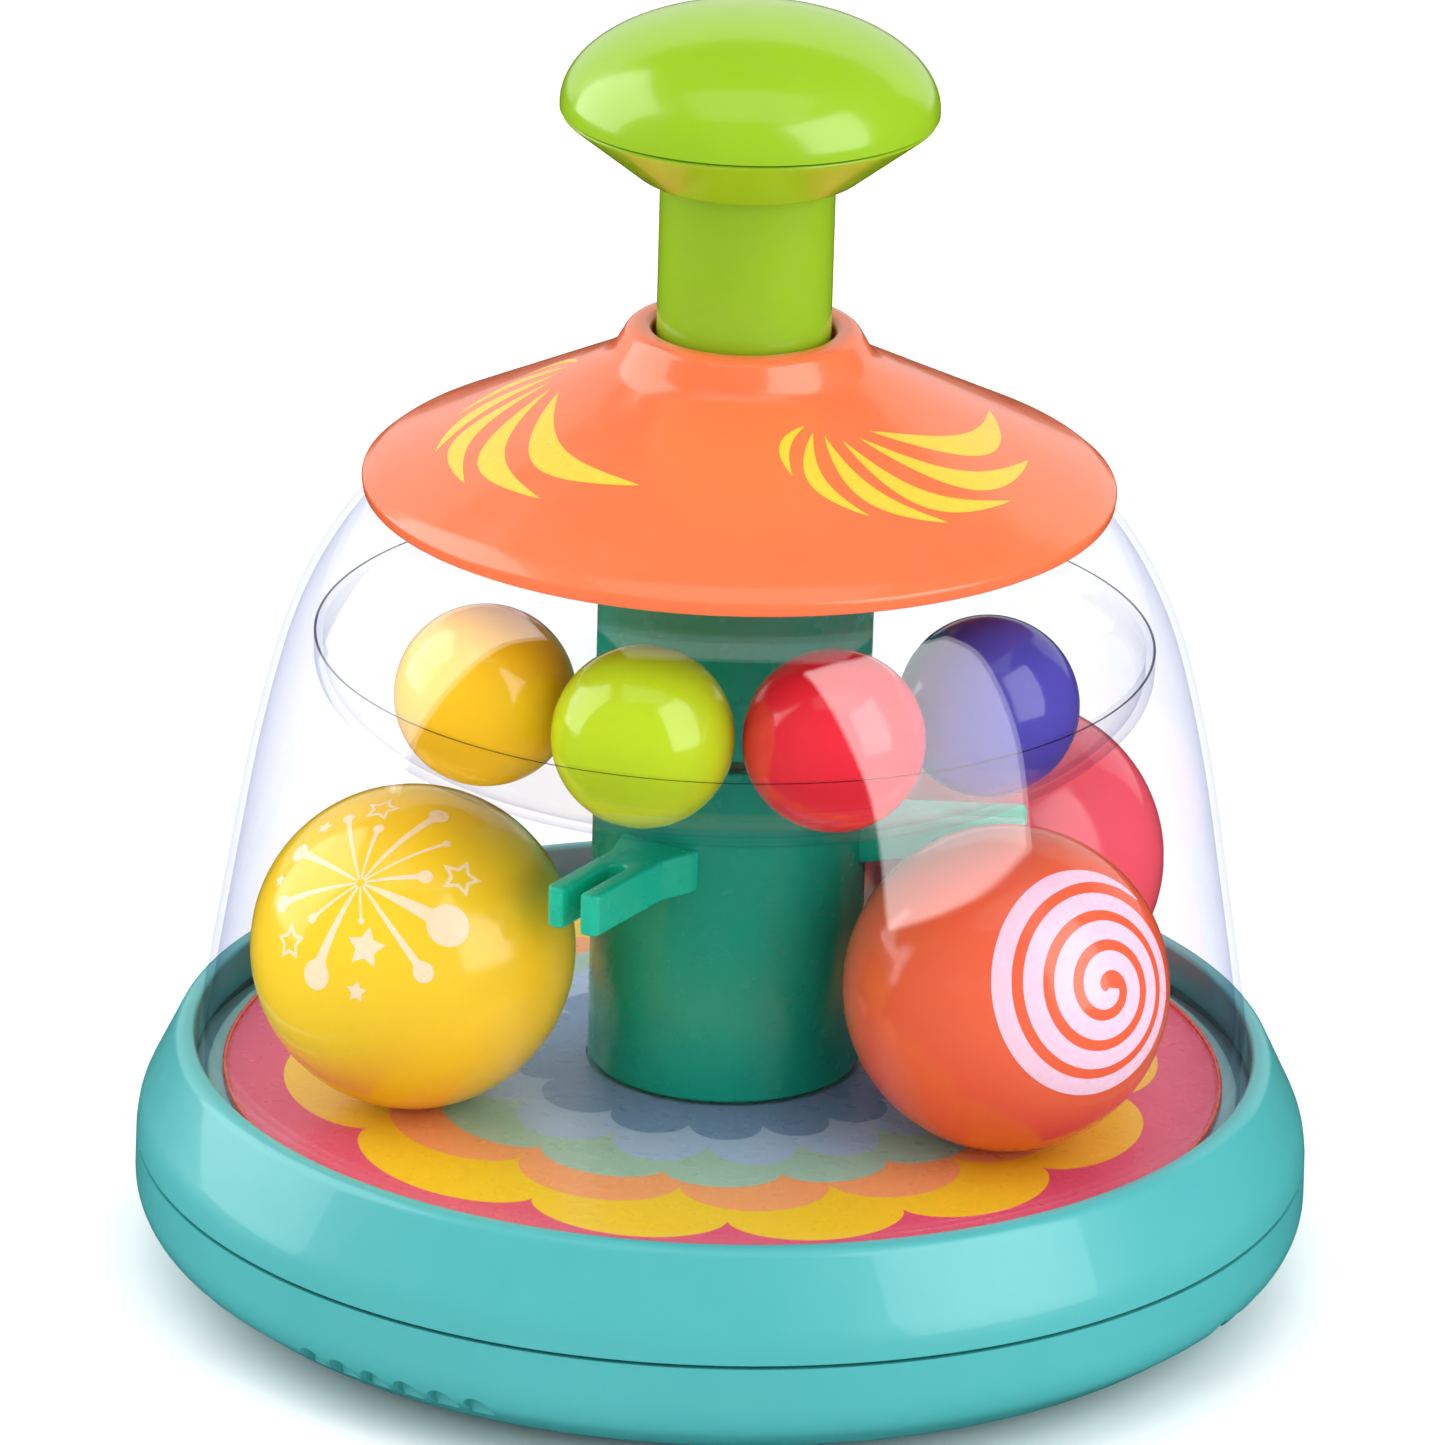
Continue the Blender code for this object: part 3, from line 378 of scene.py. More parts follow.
def turned_mesh(name, section, steps=STEPS):
    """A closed section, or an open one from axis to axis, turned about the Z axis."""
    shape = bmesh.new()
    open_section = section[0][0] < ON_AXIS and section[-1][0] < ON_AXIS
    rows = []
    for i in range(steps):
        c, s = cos(tau * i / steps), sin(tau * i / steps)
        rows.append([shape.verts.new((r * c, r * s, z)) for r, z in section])
    last = len(section) - 1 if open_section else len(section)
    for here, ahead in zip(rows, rows[1:] + rows[:1]):
        for k in range(last):
            j = (k + 1) % len(section)
            shape.faces.new((here[k], here[j], ahead[j], ahead[k]))
    bmesh.ops.remove_doubles(shape, verts=shape.verts, dist=1e-7)
    bmesh.ops.recalc_face_normals(shape, faces=shape.faces)
    mesh = bpy.data.meshes.new(name)
    shape.to_mesh(mesh)
    shape.free()
    return mesh


def turned(name, section, material, body, steps=STEPS, replaces=True):
    """A turned piece that stands for the CAD node of the same purpose."""
    nodes = (name.removesuffix("_fine"),) if replaces else ()
    return new_piece(name, turned_mesh(name, section, steps), material, body, nodes)


def apply_modifiers(obj):
    graph = bpy.context.evaluated_depsgraph_get()
    mesh = bpy.data.meshes.new_from_object(obj.evaluated_get(graph))
    obj.modifiers.clear()
    obj.data = mesh
    mesh.shade_smooth()
    mesh.set_sharp_from_angle(angle=radians(34))


def cut(obj, meshes):
    """Cuts bodies out of a piece."""
    shape = bmesh.new()
    for mesh in meshes:
        shape.from_mesh(mesh)
    whole = bpy.data.meshes.new("tool")
    shape.to_mesh(whole)
    shape.free()
    tool = bpy.data.objects.new("tool", whole)
    bpy.context.scene.collection.objects.link(tool)
    modifier = obj.modifiers.new("cut", "BOOLEAN")
    modifier.operation = "DIFFERENCE"
    modifier.object = tool
    modifier.solver = "EXACT"
    apply_modifiers(obj)
    bpy.data.objects.remove(tool)


def rod_mesh(radius, low, high, steps=48, across=False):
    """A cylinder along Z, or along X."""
    mesh = bpy.data.meshes.new("rod")
    shape = bmesh.new()
    sizes = {"radius1": radius, "radius2": radius, "depth": high - low}
    middle = Matrix.Translation((0, 0, (low + high) / 2))
    if across:
        middle = Matrix.Rotation(radians(90), 4, "Y") @ middle
    bmesh.ops.create_cone(shape, cap_ends=True, segments=steps, matrix=middle, **sizes)
    shape.to_mesh(mesh)
    shape.free()
    return mesh


def put(mesh, azimuth, radius=0.0, z=0.0):
    mesh.transform(Matrix.Rotation(radians(azimuth), 4, "Z") @ Matrix.Translation((radius, 0, z)))
    return mesh


# ---------------------------------------------------------------- base

SCREW_AZIMUTHS = (-150, -30, 90)
SCREW_ORBIT = 107.0 * MM
HEAD_HOLE_RADIUS = 3.3 * MM
HEAD_HOLE_TOP = 16.0 * MM
SCOOP_GROUPS = (-123.0, -21.0)
SCOOP_PITCH = 3.9
SCOOP_RADIUS = 2.9 * MM
SCOOP_FLOOR = 106.6 * MM
SCOOP_Z = 9.9 * MM


def make_base():
    edge = BASE_RADIUS / MM + 0.1
    outer = rounded(
        [
            (edge - 0.2, SEAM_LOW / MM, 0),
            (edge, 12.5, 10.0),
            (102.0, 4.6, 10.0),
            (92.5, low_of("base_pan") / MM, 3.0),
            (0, low_of("base_pan") / MM, 0),
        ]
    )
    slope = [(91.6, 3.4, 3.0), (100.6, 6.6, 8.0), (110.4, 13.6, 8.0)]
    inner = rounded([(0, 3.4, 0), *slope, (110.2, 24.7, 0)])
    pan = turned("base_pan_fine", outer + inner, "turquoise_plastic", "housing")
    holes = []
    for azimuth in SCREW_AZIMUTHS:
        holes.append(put(rod_mesh(HEAD_HOLE_RADIUS, -5 * MM, HEAD_HOLE_TOP), azimuth, SCREW_ORBIT))
    scoops = []
    for group in SCOOP_GROUPS:
        for i in range(6):
            scoop = rod_mesh(SCOOP_RADIUS, SCOOP_FLOOR, 115 * MM, 32, across=True)
            scoops.append(put(scoop, group + (i - 2.5) * SCOOP_PITCH, 0.0, SCOOP_Z))
    cut(pan, holes)
    cut(pan, scoops)
    ring = rounded(
        [
            (101.4, RING_TOP / MM, 0.8),
            (104.6, RING_TOP / MM, 3.0),
            (111.9, 30.0, 15.0),
            (edge - 0.2, SEAM_HIGH / MM, 0.3),
            (edge - 2.4, SEAM_HIGH / MM, 0),
            (109.7, 30.0, 8.0),
            (103.6, 42.5, 1.0),
            (103.6, 37.2, 0),
            (101.4, 37.2, 0),
        ],
        closed=True,
    )
    turned("base_ring_fine", ring, "turquoise_plastic", "housing")


def floor_z(radius):
    """The height of the printed floor, in millimetres, at a radius in millimetres."""
    inner = (COLUMN_RADIUS + 0.2 * MM) / MM
    edge = DISC_RADIUS / MM
    return DISC_TOP / MM - 3.29 * (radius - inner) / (edge - inner)


def make_floor():
    edge = DISC_RADIUS / MM
    inner = COLUMN_RADIUS / MM + 0.2
    disc = rounded(
        [
            (inner, floor_z(inner), 0),
            (edge - 1.4, floor_z(edge - 1.4), 0.6),
            (edge - 0.9, floor_z(edge) + 0.5, 0.2),
            (edge, floor_z(edge) + 0.5, 0.2),
            (edge, floor_z(edge) - 0.5, 0),
            (inner, floor_z(inner) - 0.5, 0),
        ],
        closed=True,
    )
    turned("printed_disc_fine", disc, "printed_sheet", "housing")
    bead = []
    for k in range(12):
        c, s = cos(tau * k / 12), sin(tau * k / 12)
        bead.append(((edge - 0.45 + 0.4 * c) * MM, (floor_z(edge) + 0.7 + 0.4 * s) * MM))
    mesh = turned_mesh("bead", bead)
    new_piece("printed_disc_bead", mesh, "orange_bead", "housing")
    drop = 0.8
    plate = [
        (10.4, floor_z(26.1) - drop),
        (26.1, floor_z(26.1) - drop),
        (98.7, floor_z(98.7) - drop),
        (98.7, 34.1),
        (103.0, 34.1),
        (103.0, 32.3),
        (96.7, 32.3),
        (96.7, floor_z(96.7) - drop - 1.8),
        (26.1, floor_z(26.1) - drop - 1.8),
        (10.4, floor_z(26.1) - drop - 1.8),
    ]
    plate = [(r * MM, z * MM) for r, z in plate]
    # The plate takes the paler turquoise: painted light on the band round the floor, which lies in
    # shade.
    turned("track_plate_fine", plate, "turquoise_painted_light", "housing")


# ---------------------------------------------------------------- dome and hat


def make_dome():
    """The clear cover, smooth from its flat top to its foot in the ring."""
    top = DOME_TOP / MM
    shoulder = [(40.0, top - 0.4), (54.5, 159.0), (65.5, 154.5), (75.0, 146.2), (84.3, 129.1)]
    side = [(90.8, 105.0), (95.9, 76.0), (100.9, 45.0), (100.9, 36.6)]
    outer = flowing([(21.4, top), *shoulder, *side[:3]]) + flowing(side[2:], 2)[1:]
    inner = offset(outer, 1.5 * MM)
    foot = [(102.9 * MM, 36.6 * MM), (102.9 * MM, 34.4 * MM), (99.4 * MM, 34.4 * MM)]
    turned("dome_fine", outer + foot + inner[::-1], "clear_plastic", "housing")


def hat_outline():
    """The hat's outer side, from inside the collar down to the brim."""
    return rounded(
        [
            (17.1, 178.0, 0),
            (17.1, COLLAR_TOP / MM, 1.6),
            (21.5, COLLAR_TOP / MM, 3.0),
            (25.2, 181.5, 8.0),
            (32.0, 177.8, 16.0),
            (68.5, 160.0, 10.0),
            (HAT_RADIUS / MM, 157.8, 1.0),
            (HAT_RADIUS / MM - 0.4, HAT_LOW / MM, 1.0),
            (HAT_RADIUS / MM - 1.2, HAT_LOW / MM, 0),
        ]
    )


def hat_z(radius):
    """The height of the hat's upper side at a radius."""
    slope = [(r, z) for r, z in hat_outline() if r > 23 * MM]
    slope.sort()
    i = min(max(bisect([r for r, z in slope], radius), 1), len(slope) - 1)
    (r0, z0), (r1, z1) = slope[i - 1], slope[i]
    return z0 + (z1 - z0) * (radius - r0) / (r1 - r0)


def make_hat():
    under = rounded(
        [
            (HAT_RADIUS / MM - 1.2, HAT_LOW / MM, 0),
            (68.0, 157.5, 6.0),
            (31.0, 175.6, 12.0),
            (24.0, 179.0, 4.0),
            (19.5, 181.5, 2.0),
            (19.5, 178.0, 0),
        ]
    )
    turned("hat_fine", hat_outline() + under[1:], "coral_plastic", "housing")


# ---------------------------------------------------------------- knob and stem


def make_knob():
    edge = KNOB_RADIUS / MM
    seam = low_of("knob_cap") / MM
    top = KNOB_TOP / MM
    skirt = seam + 0.8
    count = 40
    turns = [pi / 2 * k / count for k in range(count + 1)]
    dome = [(edge * sin(t) * MM, (skirt + (top - skirt) * cos(t)) * MM) for t in turns]
    lip = [(edge * MM, seam * MM), ((edge - 2.2) * MM, seam * MM)]
    rise = top - 2.2 - skirt
    inner = [((edge - 2.2) * sin(t) * MM, (skirt + rise * cos(t)) * MM) for t in turns[::-1]]
    turned("knob_cap_fine", dome + lip + inner, "lime_plastic", "plunger")
    rim = seam - 0.4
    low = low_of("knob_cup") / MM
    bore = STEM_RADIUS / MM + 0.3
    cup = rounded(
        [
            (edge - 2.2, rim, 0),
            (edge, rim, 0.4),
            (34.5, 228.6, 6.0),
            (20.5, low + 0.6, 6.0),
            (18.0, low, 0.5),
            (bore, low, 0),
            (bore, 226.5, 0),
            (18.6, 226.5, 0),
            (18.6, 220.5, 0.6),
            (31.8, 229.0, 4.0),
        ],
        closed=True,
    )
    turned("knob_cup_fine", cup, "lime_plastic", "plunger")
    stem_top = top_of("plunger_tube") / MM
    stem_low = low_of("plunger_tube") / MM
    stem = rounded(
        [
            (1.8, stem_top, 0),
            (STEM_RADIUS / MM, stem_top, 0.6),
            (STEM_RADIUS / MM, stem_low, 0.4),
            (14.2, stem_low, 0.4),
            (14.2, stem_top - 2.2, 0),
            (1.8, stem_top - 2.2, 0),
        ],
        closed=True,
    )
    turned("plunger_tube_fine", stem, "lime_plastic", "plunger")


def make_spring():
    """The return spring, a round wire wound at an even pitch from end to end."""
    low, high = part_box("return_spring")
    wire = 0.7 * MM
    radius = high.x - wire
    turns = 7
    count = turns * 36
    around = 10
    shape = bmesh.new()
    rings = []
    for i in range(count + 1):
        turn = tau * turns * i / count
        share = i / count
        z = low.z + wire + (high.z - low.z - 2 * wire) * share
        out = Vector((cos(turn), sin(turn), 0))
        ring = []
        for k in range(around):
            spoke = tau * k / around
            rise = Vector((0, 0, z + wire * sin(spoke)))
            ring.append(shape.verts.new(out * (radius + wire * cos(spoke)) + rise))
        rings.append(ring)
    for here, ahead in zip(rings, rings[1:]):
        for k in range(around):
            j = (k + 1) % around
            shape.faces.new((here[k], here[j], ahead[j], ahead[k]))
    shape.faces.new(rings[0])
    shape.faces.new(rings[-1])
    bmesh.ops.recalc_face_normals(shape, faces=shape.faces)
    mesh = bpy.data.meshes.new("return_spring_fine")
    shape.to_mesh(mesh)
    shape.free()
    stands_for = ("return_spring",)
    spring = new_piece(mesh.name, mesh, "spring_steel", "housing", stands_for)
    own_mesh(spring)


# ---------------------------------------------------------------- rotor

ARM_AZIMUTHS = (-121.0, -1.0, 119.0)


def make_columns():
    edge = COLUMN_RADIUS / MM
    for name in ("column_lower", "column_upper"):
        low, top = low_of(name) / MM, top_of(name) / MM
        if name == "column_upper":
            low = BOWL_LOW / MM + 3.9
        else:
            top = BOWL_LOW / MM + 1.7
        wall = edge - 2.2
        corners = [(wall, top, 0.3), (edge, top, 0.5), (edge, low, 0.8), (wall, low, 0.3)]
        tube = rounded(corners, closed=True)
        turned(name + "_fine", tube, "teal_plastic", "rotor")


def arm_outline():
    """One fork seen from above, along +X, in millimetres."""
    half = 5.6
    slot = 1.9
    slot_end = 41.0
    reach = 56.5
    root = [(24.5, -8.4, 0), (26.7, -8.0, 1.0), (33.5, -half, 9.0)]
    right = rounded([*root, (reach, -half, 1.6), (reach, -slot, 0.4)])
    turns = [pi * k / 10 - pi / 2 for k in range(11)]
    back = [((slot_end - slot * cos(t)) * MM, slot * sin(t) * MM) for t in turns]
    return right + back + [(x, -y) for x, y in reversed(right)]


def make_arms():
    for i, azimuth in enumerate(ARM_AZIMUTHS, 1):
        name = f"arm_{i}"
        low, top = low_of(name), top_of(name)
        shape = bmesh.new()
        face = shape.faces.new([shape.verts.new((x, y, low)) for x, y in arm_outline()])
        raised = bmesh.ops.extrude_face_region(shape, geom=[face])
        verts = [v for v in raised["geom"] if isinstance(v, bmesh.types.BMVert)]
        bmesh.ops.translate(shape, verts=verts, vec=(0, 0, top - low))
        bmesh.ops.recalc_face_normals(shape, faces=shape.faces)
        mesh = bpy.data.meshes.new(name + "_fine")
        shape.to_mesh(mesh)
        shape.free()
        put(mesh, azimuth)
        arm = new_piece(name + "_fine", mesh, "teal_arm", "rotor", (name,))
        bevel = arm.modifiers.new("edges", "BEVEL")
        bevel.width = 0.7 * MM
        bevel.segments = 4
        bevel.limit_method = "ANGLE"
        bevel.angle_limit = radians(50)
        apply_modifiers(arm)


# The width of the painted shade on the bowl's cut rim: a dark grey tint laid where the clear rim looks
# dark.
RIM_SHADE_WIDTH = 0.5 * MM


def make_bowl():
    rim = BOWL_RADIUS / MM
    outer = rounded(
        [
            (rim, BOWL_TOP / MM, 0),
            (rim - 0.1, 119.0, 9.0),
            (72.5, 111.3, 25.0),
            (60.0, BOWL_LOW / MM, 25.0),
            (45.0, BOWL_LOW / MM, 20.0),
            (23.9, BOWL_LOW / MM + 2.0, 0),
        ]
    )
    wall = 1.8 * MM
    inner = offset(outer, wall)
    inner[0] = (outer[0][0] - wall, outer[0][1])
    outer.insert(0, (outer[0][0] - RIM_SHADE_WIDTH, outer[0][1]))
    inner[-1] = (outer[-1][0], outer[-1][1] + wall)
    bowl = turned("bowl_fine", outer + inner[::-1], "clear_plastic", "rotor")
    # A narrow band of the rim's top takes the dark tint: painted shade where the clear rim looks dark.
    bowl.data.materials.append(MATERIALS["clear_rim_painted_shade"])
    for polygon in bowl.data.polygons:
        at_rim = polygon.center.z > BOWL_TOP - 0.1 * MM and abs(polygon.normal.z) > 0.5
        in_rim_shade = polygon.center.xy.length > BOWL_RADIUS - RIM_SHADE_WIDTH
        polygon.material_index = int(at_rim and in_rim_shade)


# ---------------------------------------------------------------- balls


def ball_section(radius):
    """A ball's half section with a fine weld line round its middle."""
    count = 64
    depth = 0.04 * MM
    section = []
    for k in range(count + 1):
        t = pi * k / count
        r = radius - (depth if k == count // 2 else 0)
        section.append((r * sin(t), r * cos(t)))
    return section


def make_ball(name, color, body, tilt):
    centre = middle_of(name)
    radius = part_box(name)[1].x - centre.x
    mesh = turned_mesh(name + "_fine", ball_section(radius), 128)
    mesh.transform(Matrix.Translation(centre) @ Matrix.Rotation(radians(tilt), 4, "X"))
    return new_piece(name + "_fine", mesh, color, body, (name,))


def make_balls():
    big = ("yellow_ball", "orange_ball", "pink_ball")
    for i, color in enumerate(big, 1):
        make_ball(f"big_ball_{i}", color, f"big_ball_{i}", 70 + 20 * i)
    small = ("amber_ball", "lime_ball", "red_ball", "violet_ball")
    for i, color in enumerate(small, 1):
        make_ball(f"small_ball_{i}", color, "small_balls", 60 + 25 * i)


# ---------------------------------------------------------------- prints


class Print:
    """A thin printed shape: sheets of ink laid on a surface and given a little depth."""

    def __init__(self, place):
        self.place = place
        self.shape = bmesh.new()

    def sheet(self, rows, loop=False):
        """A sheet through rows of points; a loop joins its last row to its first."""
        grid = [[self.shape.verts.new(self.place(u, v)) for u, v in row] for row in rows]
        pairs = zip(grid, grid[1:] + grid[:1]) if loop else zip(grid, grid[1:])
        for here, ahead in pairs:
            for k in range(len(here) - 1):
                self.shape.faces.new((here[k], here[k + 1], ahead[k + 1], ahead[k]))

    def patch(self, outline, centre, shares=(1.0, 0.66, 0.33, 0.0)):
        """A filled outline, or a band of it when the shares stop short of the centre."""
        cu, cv = centre
        rows = [[(cu + (u - cu) * s, cv + (v - cv) * s) for s in shares] for u, v in outline]
        self.sheet(rows, loop=True)

    def finish(self, name, material, body, slot):
        bmesh.ops.remove_doubles(self.shape, verts=self.shape.verts, dist=1e-6)
        degenerate = [f for f in self.shape.faces if f.calc_area() < 1e-12]
        bmesh.ops.delete(self.shape, geom=degenerate, context="FACES")
        bmesh.ops.recalc_face_normals(self.shape, faces=self.shape.faces)
        mesh = bpy.data.meshes.new(name)
        self.shape.to_mesh(mesh)
        self.shape.free()
        obj = new_piece(name, mesh, material, body)
        depth = obj.modifiers.new("depth", "SOLIDIFY")
        depth.thickness = PRINT_DEPTH
        depth.offset = -1
        apply_modifiers(obj)
        return obj


def on_ball(node, azimuth, elevation):
    """Lays a flat point (u right, v up, in millimetres of arc) on a ball, round a direction on it."""
    centre = middle_of(node)
    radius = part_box(node)[1].x - centre.x
    a, e = radians(azimuth), radians(elevation)
    out = Vector((cos(a) * cos(e), sin(a) * cos(e), sin(e)))
    right = Vector((-sin(a), cos(a), 0))
    up = out.cross(right)

    def place(u, v):
        reach = sqrt(u * u + v * v) * MM / radius
        side = (right * u + up * v).normalized() if reach else right
        return centre + (out * cos(reach) + side * sin(reach)) * (radius + LIFT)

    return place


def on_hat(u, v):
    """Lays a plan point, in millimetres, on the hat's upper side."""
    radius = sqrt(u * u + v * v) * MM
    return Vector((u * MM, v * MM, hat_z(radius) + LIFT * 1.3))


def unit_of(angle):
    """The unit direction at an angle in degrees."""
    return cos(radians(angle)), sin(radians(angle))


# Streaks of the burst: direction in degrees, length and end radius in millimetres.
STREAKS = (
    (123, 17.1, 1.3), (96, 12.4, 1.1), (68, 21.5, 2.0), (47, 18.3, 0.8),
    (22, 12.3, 1.4), (-10, 18.7, 4.2), (-40, 21.1, 2.1), (-107, 19.5, 3.0),
    (-135, 11.5, 1.0), (-162, 18.1, 1.8), (162, 18.3, 2.1), (-72, 7.5, 0.6),
)
# Stars of the burst: direction, distance, radius, and whether it is only an outline.
STARS = (
    (140, 18.5, 1.9, False), (-179, 20.6, 1.7, False), (-135, 18.5, 3.9, True),
    (22, 19.0, 4.2, True), (101, 18.3, 3.8, True), (-70, 12.5, 4.0, False), (-80, 20.7, 2.2, False),
)


def streak_rows(direction, length, end):
    """A ray that widens outwards and ends in a round drop."""
    c, s = unit_of(direction)
    rows = []
    steps = 30
    start = 0.8
    for i in range(steps + 1):
        along = start + (length + end - start) * sin(pi / 2 * i / steps)
        taper = 0.16 + (0.42 * end - 0.16) * min(along / length, 1.0)
        drop = sqrt(max(end * end - (along - length) ** 2, 0.0))
        half = max(drop, taper if along < length else 0.0, 0.02)
        sides = [half * w for w in (-1, -0.5, 0, 0.5, 1)]
        rows.append([(c * along - s * side, s * along + c * side) for side in sides])
    return rows


def star_outline(direction, distance, size):
    c, s = unit_of(direction)
    points = []
    for k in range(10):
        reach = size if k % 2 == 0 else size * 0.52
        spoke = radians(90 + 36 * k)
        points.append((c * distance + reach * cos(spoke), s * distance + reach * sin(spoke)))
    fine = []
    for (u0, v0), (u1, v1) in zip(points, points[1:] + points[:1]):
        fine += [(u0 + (u1 - u0) * t, v0 + (v1 - v0) * t) for t in (0.0, 0.34, 0.67)]
    return fine


def make_firework():
    burst = Print(on_ball("big_ball_1", -114.1, 42.3))
    for direction, length, end in STREAKS:
        burst.sheet(streak_rows(direction, length, end))
    for direction, distance, size, outlined in STARS:
        c, s = unit_of(direction)
        shares = (1.0, 0.82, 0.64) if outlined else (1.0, 0.66, 0.33, 0.0)
        burst.patch(star_outline(direction, distance, size), (c * distance, s * distance), shares)
    burst.finish("big_ball_1_burst", "cream_ink", "big_ball_1", "yellow_ball")


def make_spiral():
    """A band that winds in from a pointed tail to the centre."""
    arc = BIG_BALL_RADIUS / MM * pi / 180
    first, last = 38, 1425
    rows = []
    for angle in range(first, last, 3):
        outer = (48.2 - 0.0305 * angle) * arc
        inner = max(outer - 7.0 * arc, 0.15)
        taper = min(1.0, sqrt((angle - first + 1) / 60))
        middle = outer - 1.6
        outer = middle + (outer - middle) * taper
        inner = middle + (inner - middle) * taper
        c, s = unit_of(angle)
        reaches = [inner + (outer - inner) * k / 5 for k in range(6)]
        rows.append([(c * reach, s * reach) for reach in reaches])
    spiral = Print(on_ball("big_ball_2", -51.3, 18.5))
    spiral.sheet(rows)
    spiral.finish("big_ball_2_spiral", "pink_ink", "big_ball_2", "orange_ball")


# One group of the hat's crescents: start azimuth and radius, end azimuth and radius, and how far the
# outer and inner sides bulge, as shares of the length.
CRESCENTS = (
    (-68.0, 31.4, -76.8, 42.5, 0.29, 0.13),
    (-66.2, 33.1, -63.2, 53.3, 0.34, 0.18),
    (-63.0, 34.3, -48.3, 58.0, 0.31, 0.155),
    (-58.2, 35.6, -30.6, 58.3, 0.36, 0.22),
    (-52.3, 35.9, -12.0, 54.8, 0.35, 0.21),
    (-46.8, 35.0, 7.0, 46.8, 0.335, 0.185),
)


def crescent_rows(turn, crescent):
    azimuth_0, radius_0, azimuth_1, radius_1, outer, inner = crescent
    c, s = unit_of(azimuth_0 + turn)
    start = Vector((c * radius_0, s * radius_0))
    c, s = unit_of(azimuth_1 + turn)
    chord = Vector((c * radius_1, s * radius_1)) - start
    side = Vector((chord.y, -chord.x))
    rows = []
    steps = 36
    for i in range(steps + 1):
        t = 0.5 - 0.5 * cos(pi * i / steps)
        wave = sin(pi * t)
        out = outer * wave**0.85
        back = inner * wave**0.95
        row = [start + chord * t + side * (back + (out - back) * k / 5) for k in range(6)]
        rows.append([(p.x, p.y) for p in row])
    return rows


def make_hat_print():
    swirl = Print(on_hat)
    for turn in (0, 120, 240):
        for crescent in CRESCENTS:
            swirl.sheet(crescent_rows(turn, crescent))
    swirl.finish("hat_print", "yellow_ink", "housing", "coral_plastic")


# ---------------------------------------------------------------- carried-over CAD nodes


def dress_cad_nodes():
    """Gives each CAD node that still shows the node material of its slot."""
    screws = [f"{place}_screw_{i}" for place in ("hat", "base") for i in (1, 2, 3)]
    turning = ["top_bearing_ring", "thrust_washer", "bearing_bush", "ratchet_hub", "ratchet_ring"]
    slots = {
        "steel": ["pivot_pin", "drive_rod", "knob_screw", *screws],
        "foot_rubber": [f"foot_{i}" for i in (1, 2, 3, 4)],
        "white_nylon": ["guide_sleeve", "drive_nut", *turning],
    }
    for slot, names in slots.items():
        for name in names:
            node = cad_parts[name]
            node.data.materials.clear()
            node.data.materials.append(MATERIALS[slot])


# ---------------------------------------------------------------- studio

CAMERA_PLACE = (0.0, -1.77667, 0.77259)
CAMERA_PITCH = radians(20.496)
CAMERA_YAW = radians(-0.061)
CAMERA_ROLL = radians(1.630)
CAMERA_LENS = 249.1


def make_camera():
    cp, sp = cos(CAMERA_PITCH), sin(CAMERA_PITCH)
    ahead = Vector((sin(CAMERA_YAW) * cp, cos(CAMERA_YAW) * cp, -sp))
    right = Vector((cos(CAMERA_YAW), -sin(CAMERA_YAW), 0))
    up = right.cross(ahead)
    c, s = cos(CAMERA_ROLL), sin(CAMERA_ROLL)
    axes = Matrix((right * c + up * s, up * c - right * s, -ahead)).transposed()
    data = bpy.data.cameras.new("camera")
    data.lens = CAMERA_LENS
    data.sensor_width = 36.0
    data.clip_start = 0.05
    data.clip_end = 50.0
    camera = bpy.data.objects.new("camera", data)
    camera.matrix_world = Matrix.Translation(CAMERA_PLACE) @ axes.to_4x4()
    bpy.context.scene.collection.objects.link(camera)
    bpy.context.scene.camera = camera


def soft_box(name, azimuth, elevation, distance, size, radiance, shines_only):
    """A rectangular light that faces the object; its power gives the stated brightness."""
    light = bpy.data.lights.new(name, "AREA")
    light.shape = "RECTANGLE"
    light.size, light.size_y = size
    light.energy = radiance * pi * size[0] * size[1]
    obj = bpy.data.objects.new(name, light)
    a, e = radians(azimuth), radians(elevation)
    out = Vector((cos(a) * cos(e), sin(a) * cos(e), sin(e)))
    obj.location = CENTRE + out * distance
    obj.rotation_mode = "QUATERNION"
    obj.rotation_quaternion = out.to_track_quat("Z", "Y")
    obj.visible_diffuse = not shines_only
    obj.visible_camera = False
    bpy.context.scene.collection.objects.link(obj)


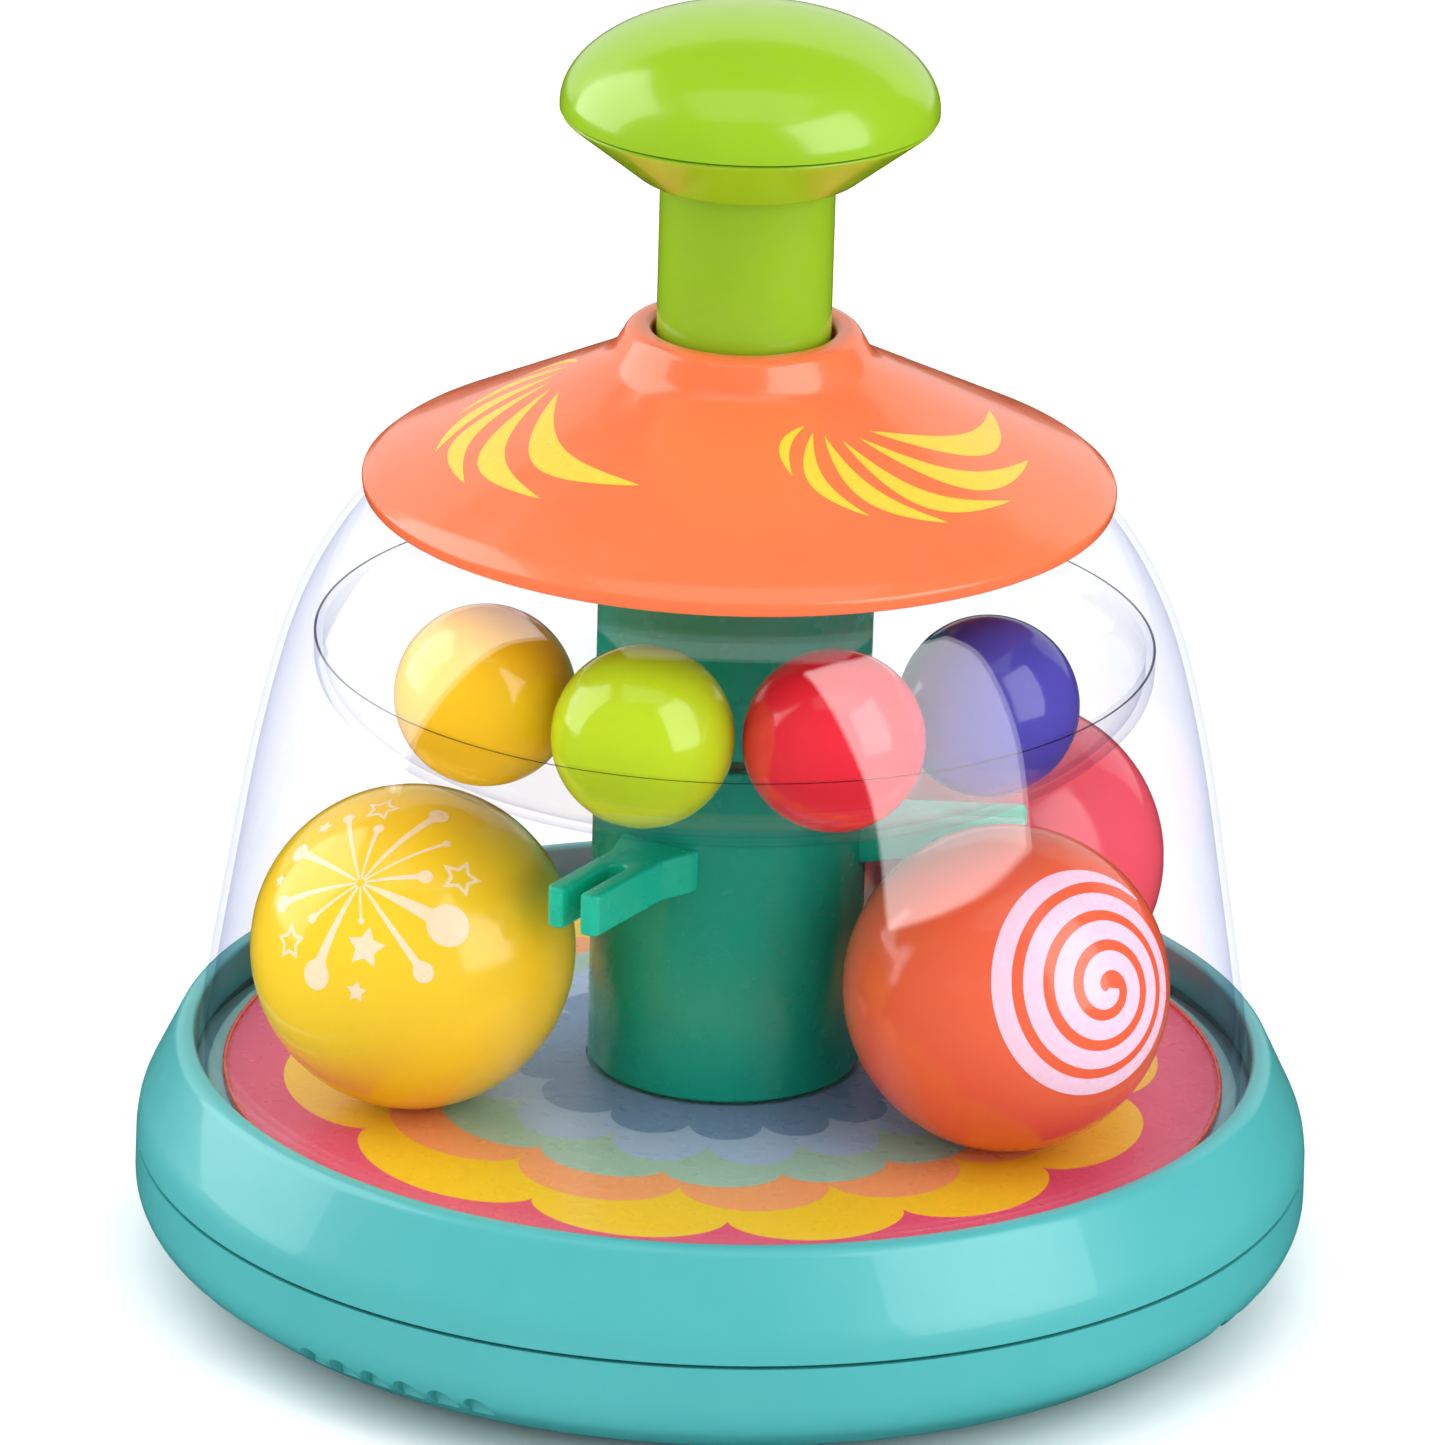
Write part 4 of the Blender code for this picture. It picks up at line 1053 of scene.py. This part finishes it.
# Azimuth, elevation, distance, size and brightness of each soft box, and whether only gloss shows it.
# The right and left boxes are the tall windows that the clear parts mirror.
SOFT_BOXES = {
    "right_box": (-35.0, 27.0, 1.5, (1.15, 1.6), 1.7, False),
    "left_box": (164.0, 27.0, 1.5, (1.3, 1.6), 1.6, False),
    "top_box": (-90.0, 78.0, 1.6, (1.4, 1.0), 1.0, False),
    "right_gloss": (-35.0, 27.0, 1.45, (1.11, 1.55), 2.0, True),
    "left_gloss": (164.0, 27.0, 1.45, (1.26, 1.55), 1.6, True),
    "back_gloss": (90.0, 22.0, 1.5, (3.2, 1.3), 0.8, True),
}
WORLD_COLOR = (0.97, 0.98, 1.0, 1.0)
WORLD_BRIGHTNESS = 1.15
FLOOR_HALF_SIZE = 4.0


def make_world():
    """An even white surround, kept out of reflections so that only the soft boxes show in them."""
    world = bpy.data.worlds.new("studio")
    bpy.context.scene.world = world
    world.use_nodes = True
    background = world.node_tree.nodes["Background"]
    background.inputs["Color"].default_value = WORLD_COLOR
    background.inputs["Strength"].default_value = WORLD_BRIGHTNESS
    world.cycles_visibility.glossy = False


def make_stage():
    mesh = bpy.data.meshes.new("floor")
    shape = bmesh.new()
    bmesh.ops.create_grid(shape, x_segments=2, y_segments=2, size=FLOOR_HALF_SIZE)
    shape.to_mesh(mesh)
    shape.free()
    floor = bpy.data.objects.new("floor", mesh)
    bpy.context.scene.collection.objects.link(floor)
    graph = Graph("floor_paper")
    tone = graph.blend(graph.between(graph.noise(40.0, 4.0), 0.0, 1.0), srgb("fbfbfb"), srgb("f8f8f9"))
    inputs = {"Base Color": tone, "Roughness": 0.7}
    mesh.materials.append(graph.finish(graph.node("ShaderNodeBsdfPrincipled", inputs)))
    floor.visible_glossy = False


def make_studio():
    make_world()
    for name, (azimuth, elevation, distance, size, radiance, shines_only) in SOFT_BOXES.items():
        soft_box(name, azimuth, elevation, distance, size, radiance, shines_only)
    make_stage()
    scene = bpy.context.scene
    scene.view_settings.view_transform = "Standard"
    scene.cycles.transparent_max_bounces = 24


# ---------------------------------------------------------------- assembly

MATERIALS = make_materials()
make_camera()
make_studio()
make_base()
make_floor()
make_dome()
make_hat()
make_knob()
make_spring()
make_columns()
make_arms()
make_bowl()
make_balls()
make_firework()
make_spiral()
make_hat_print()
dress_cad_nodes()
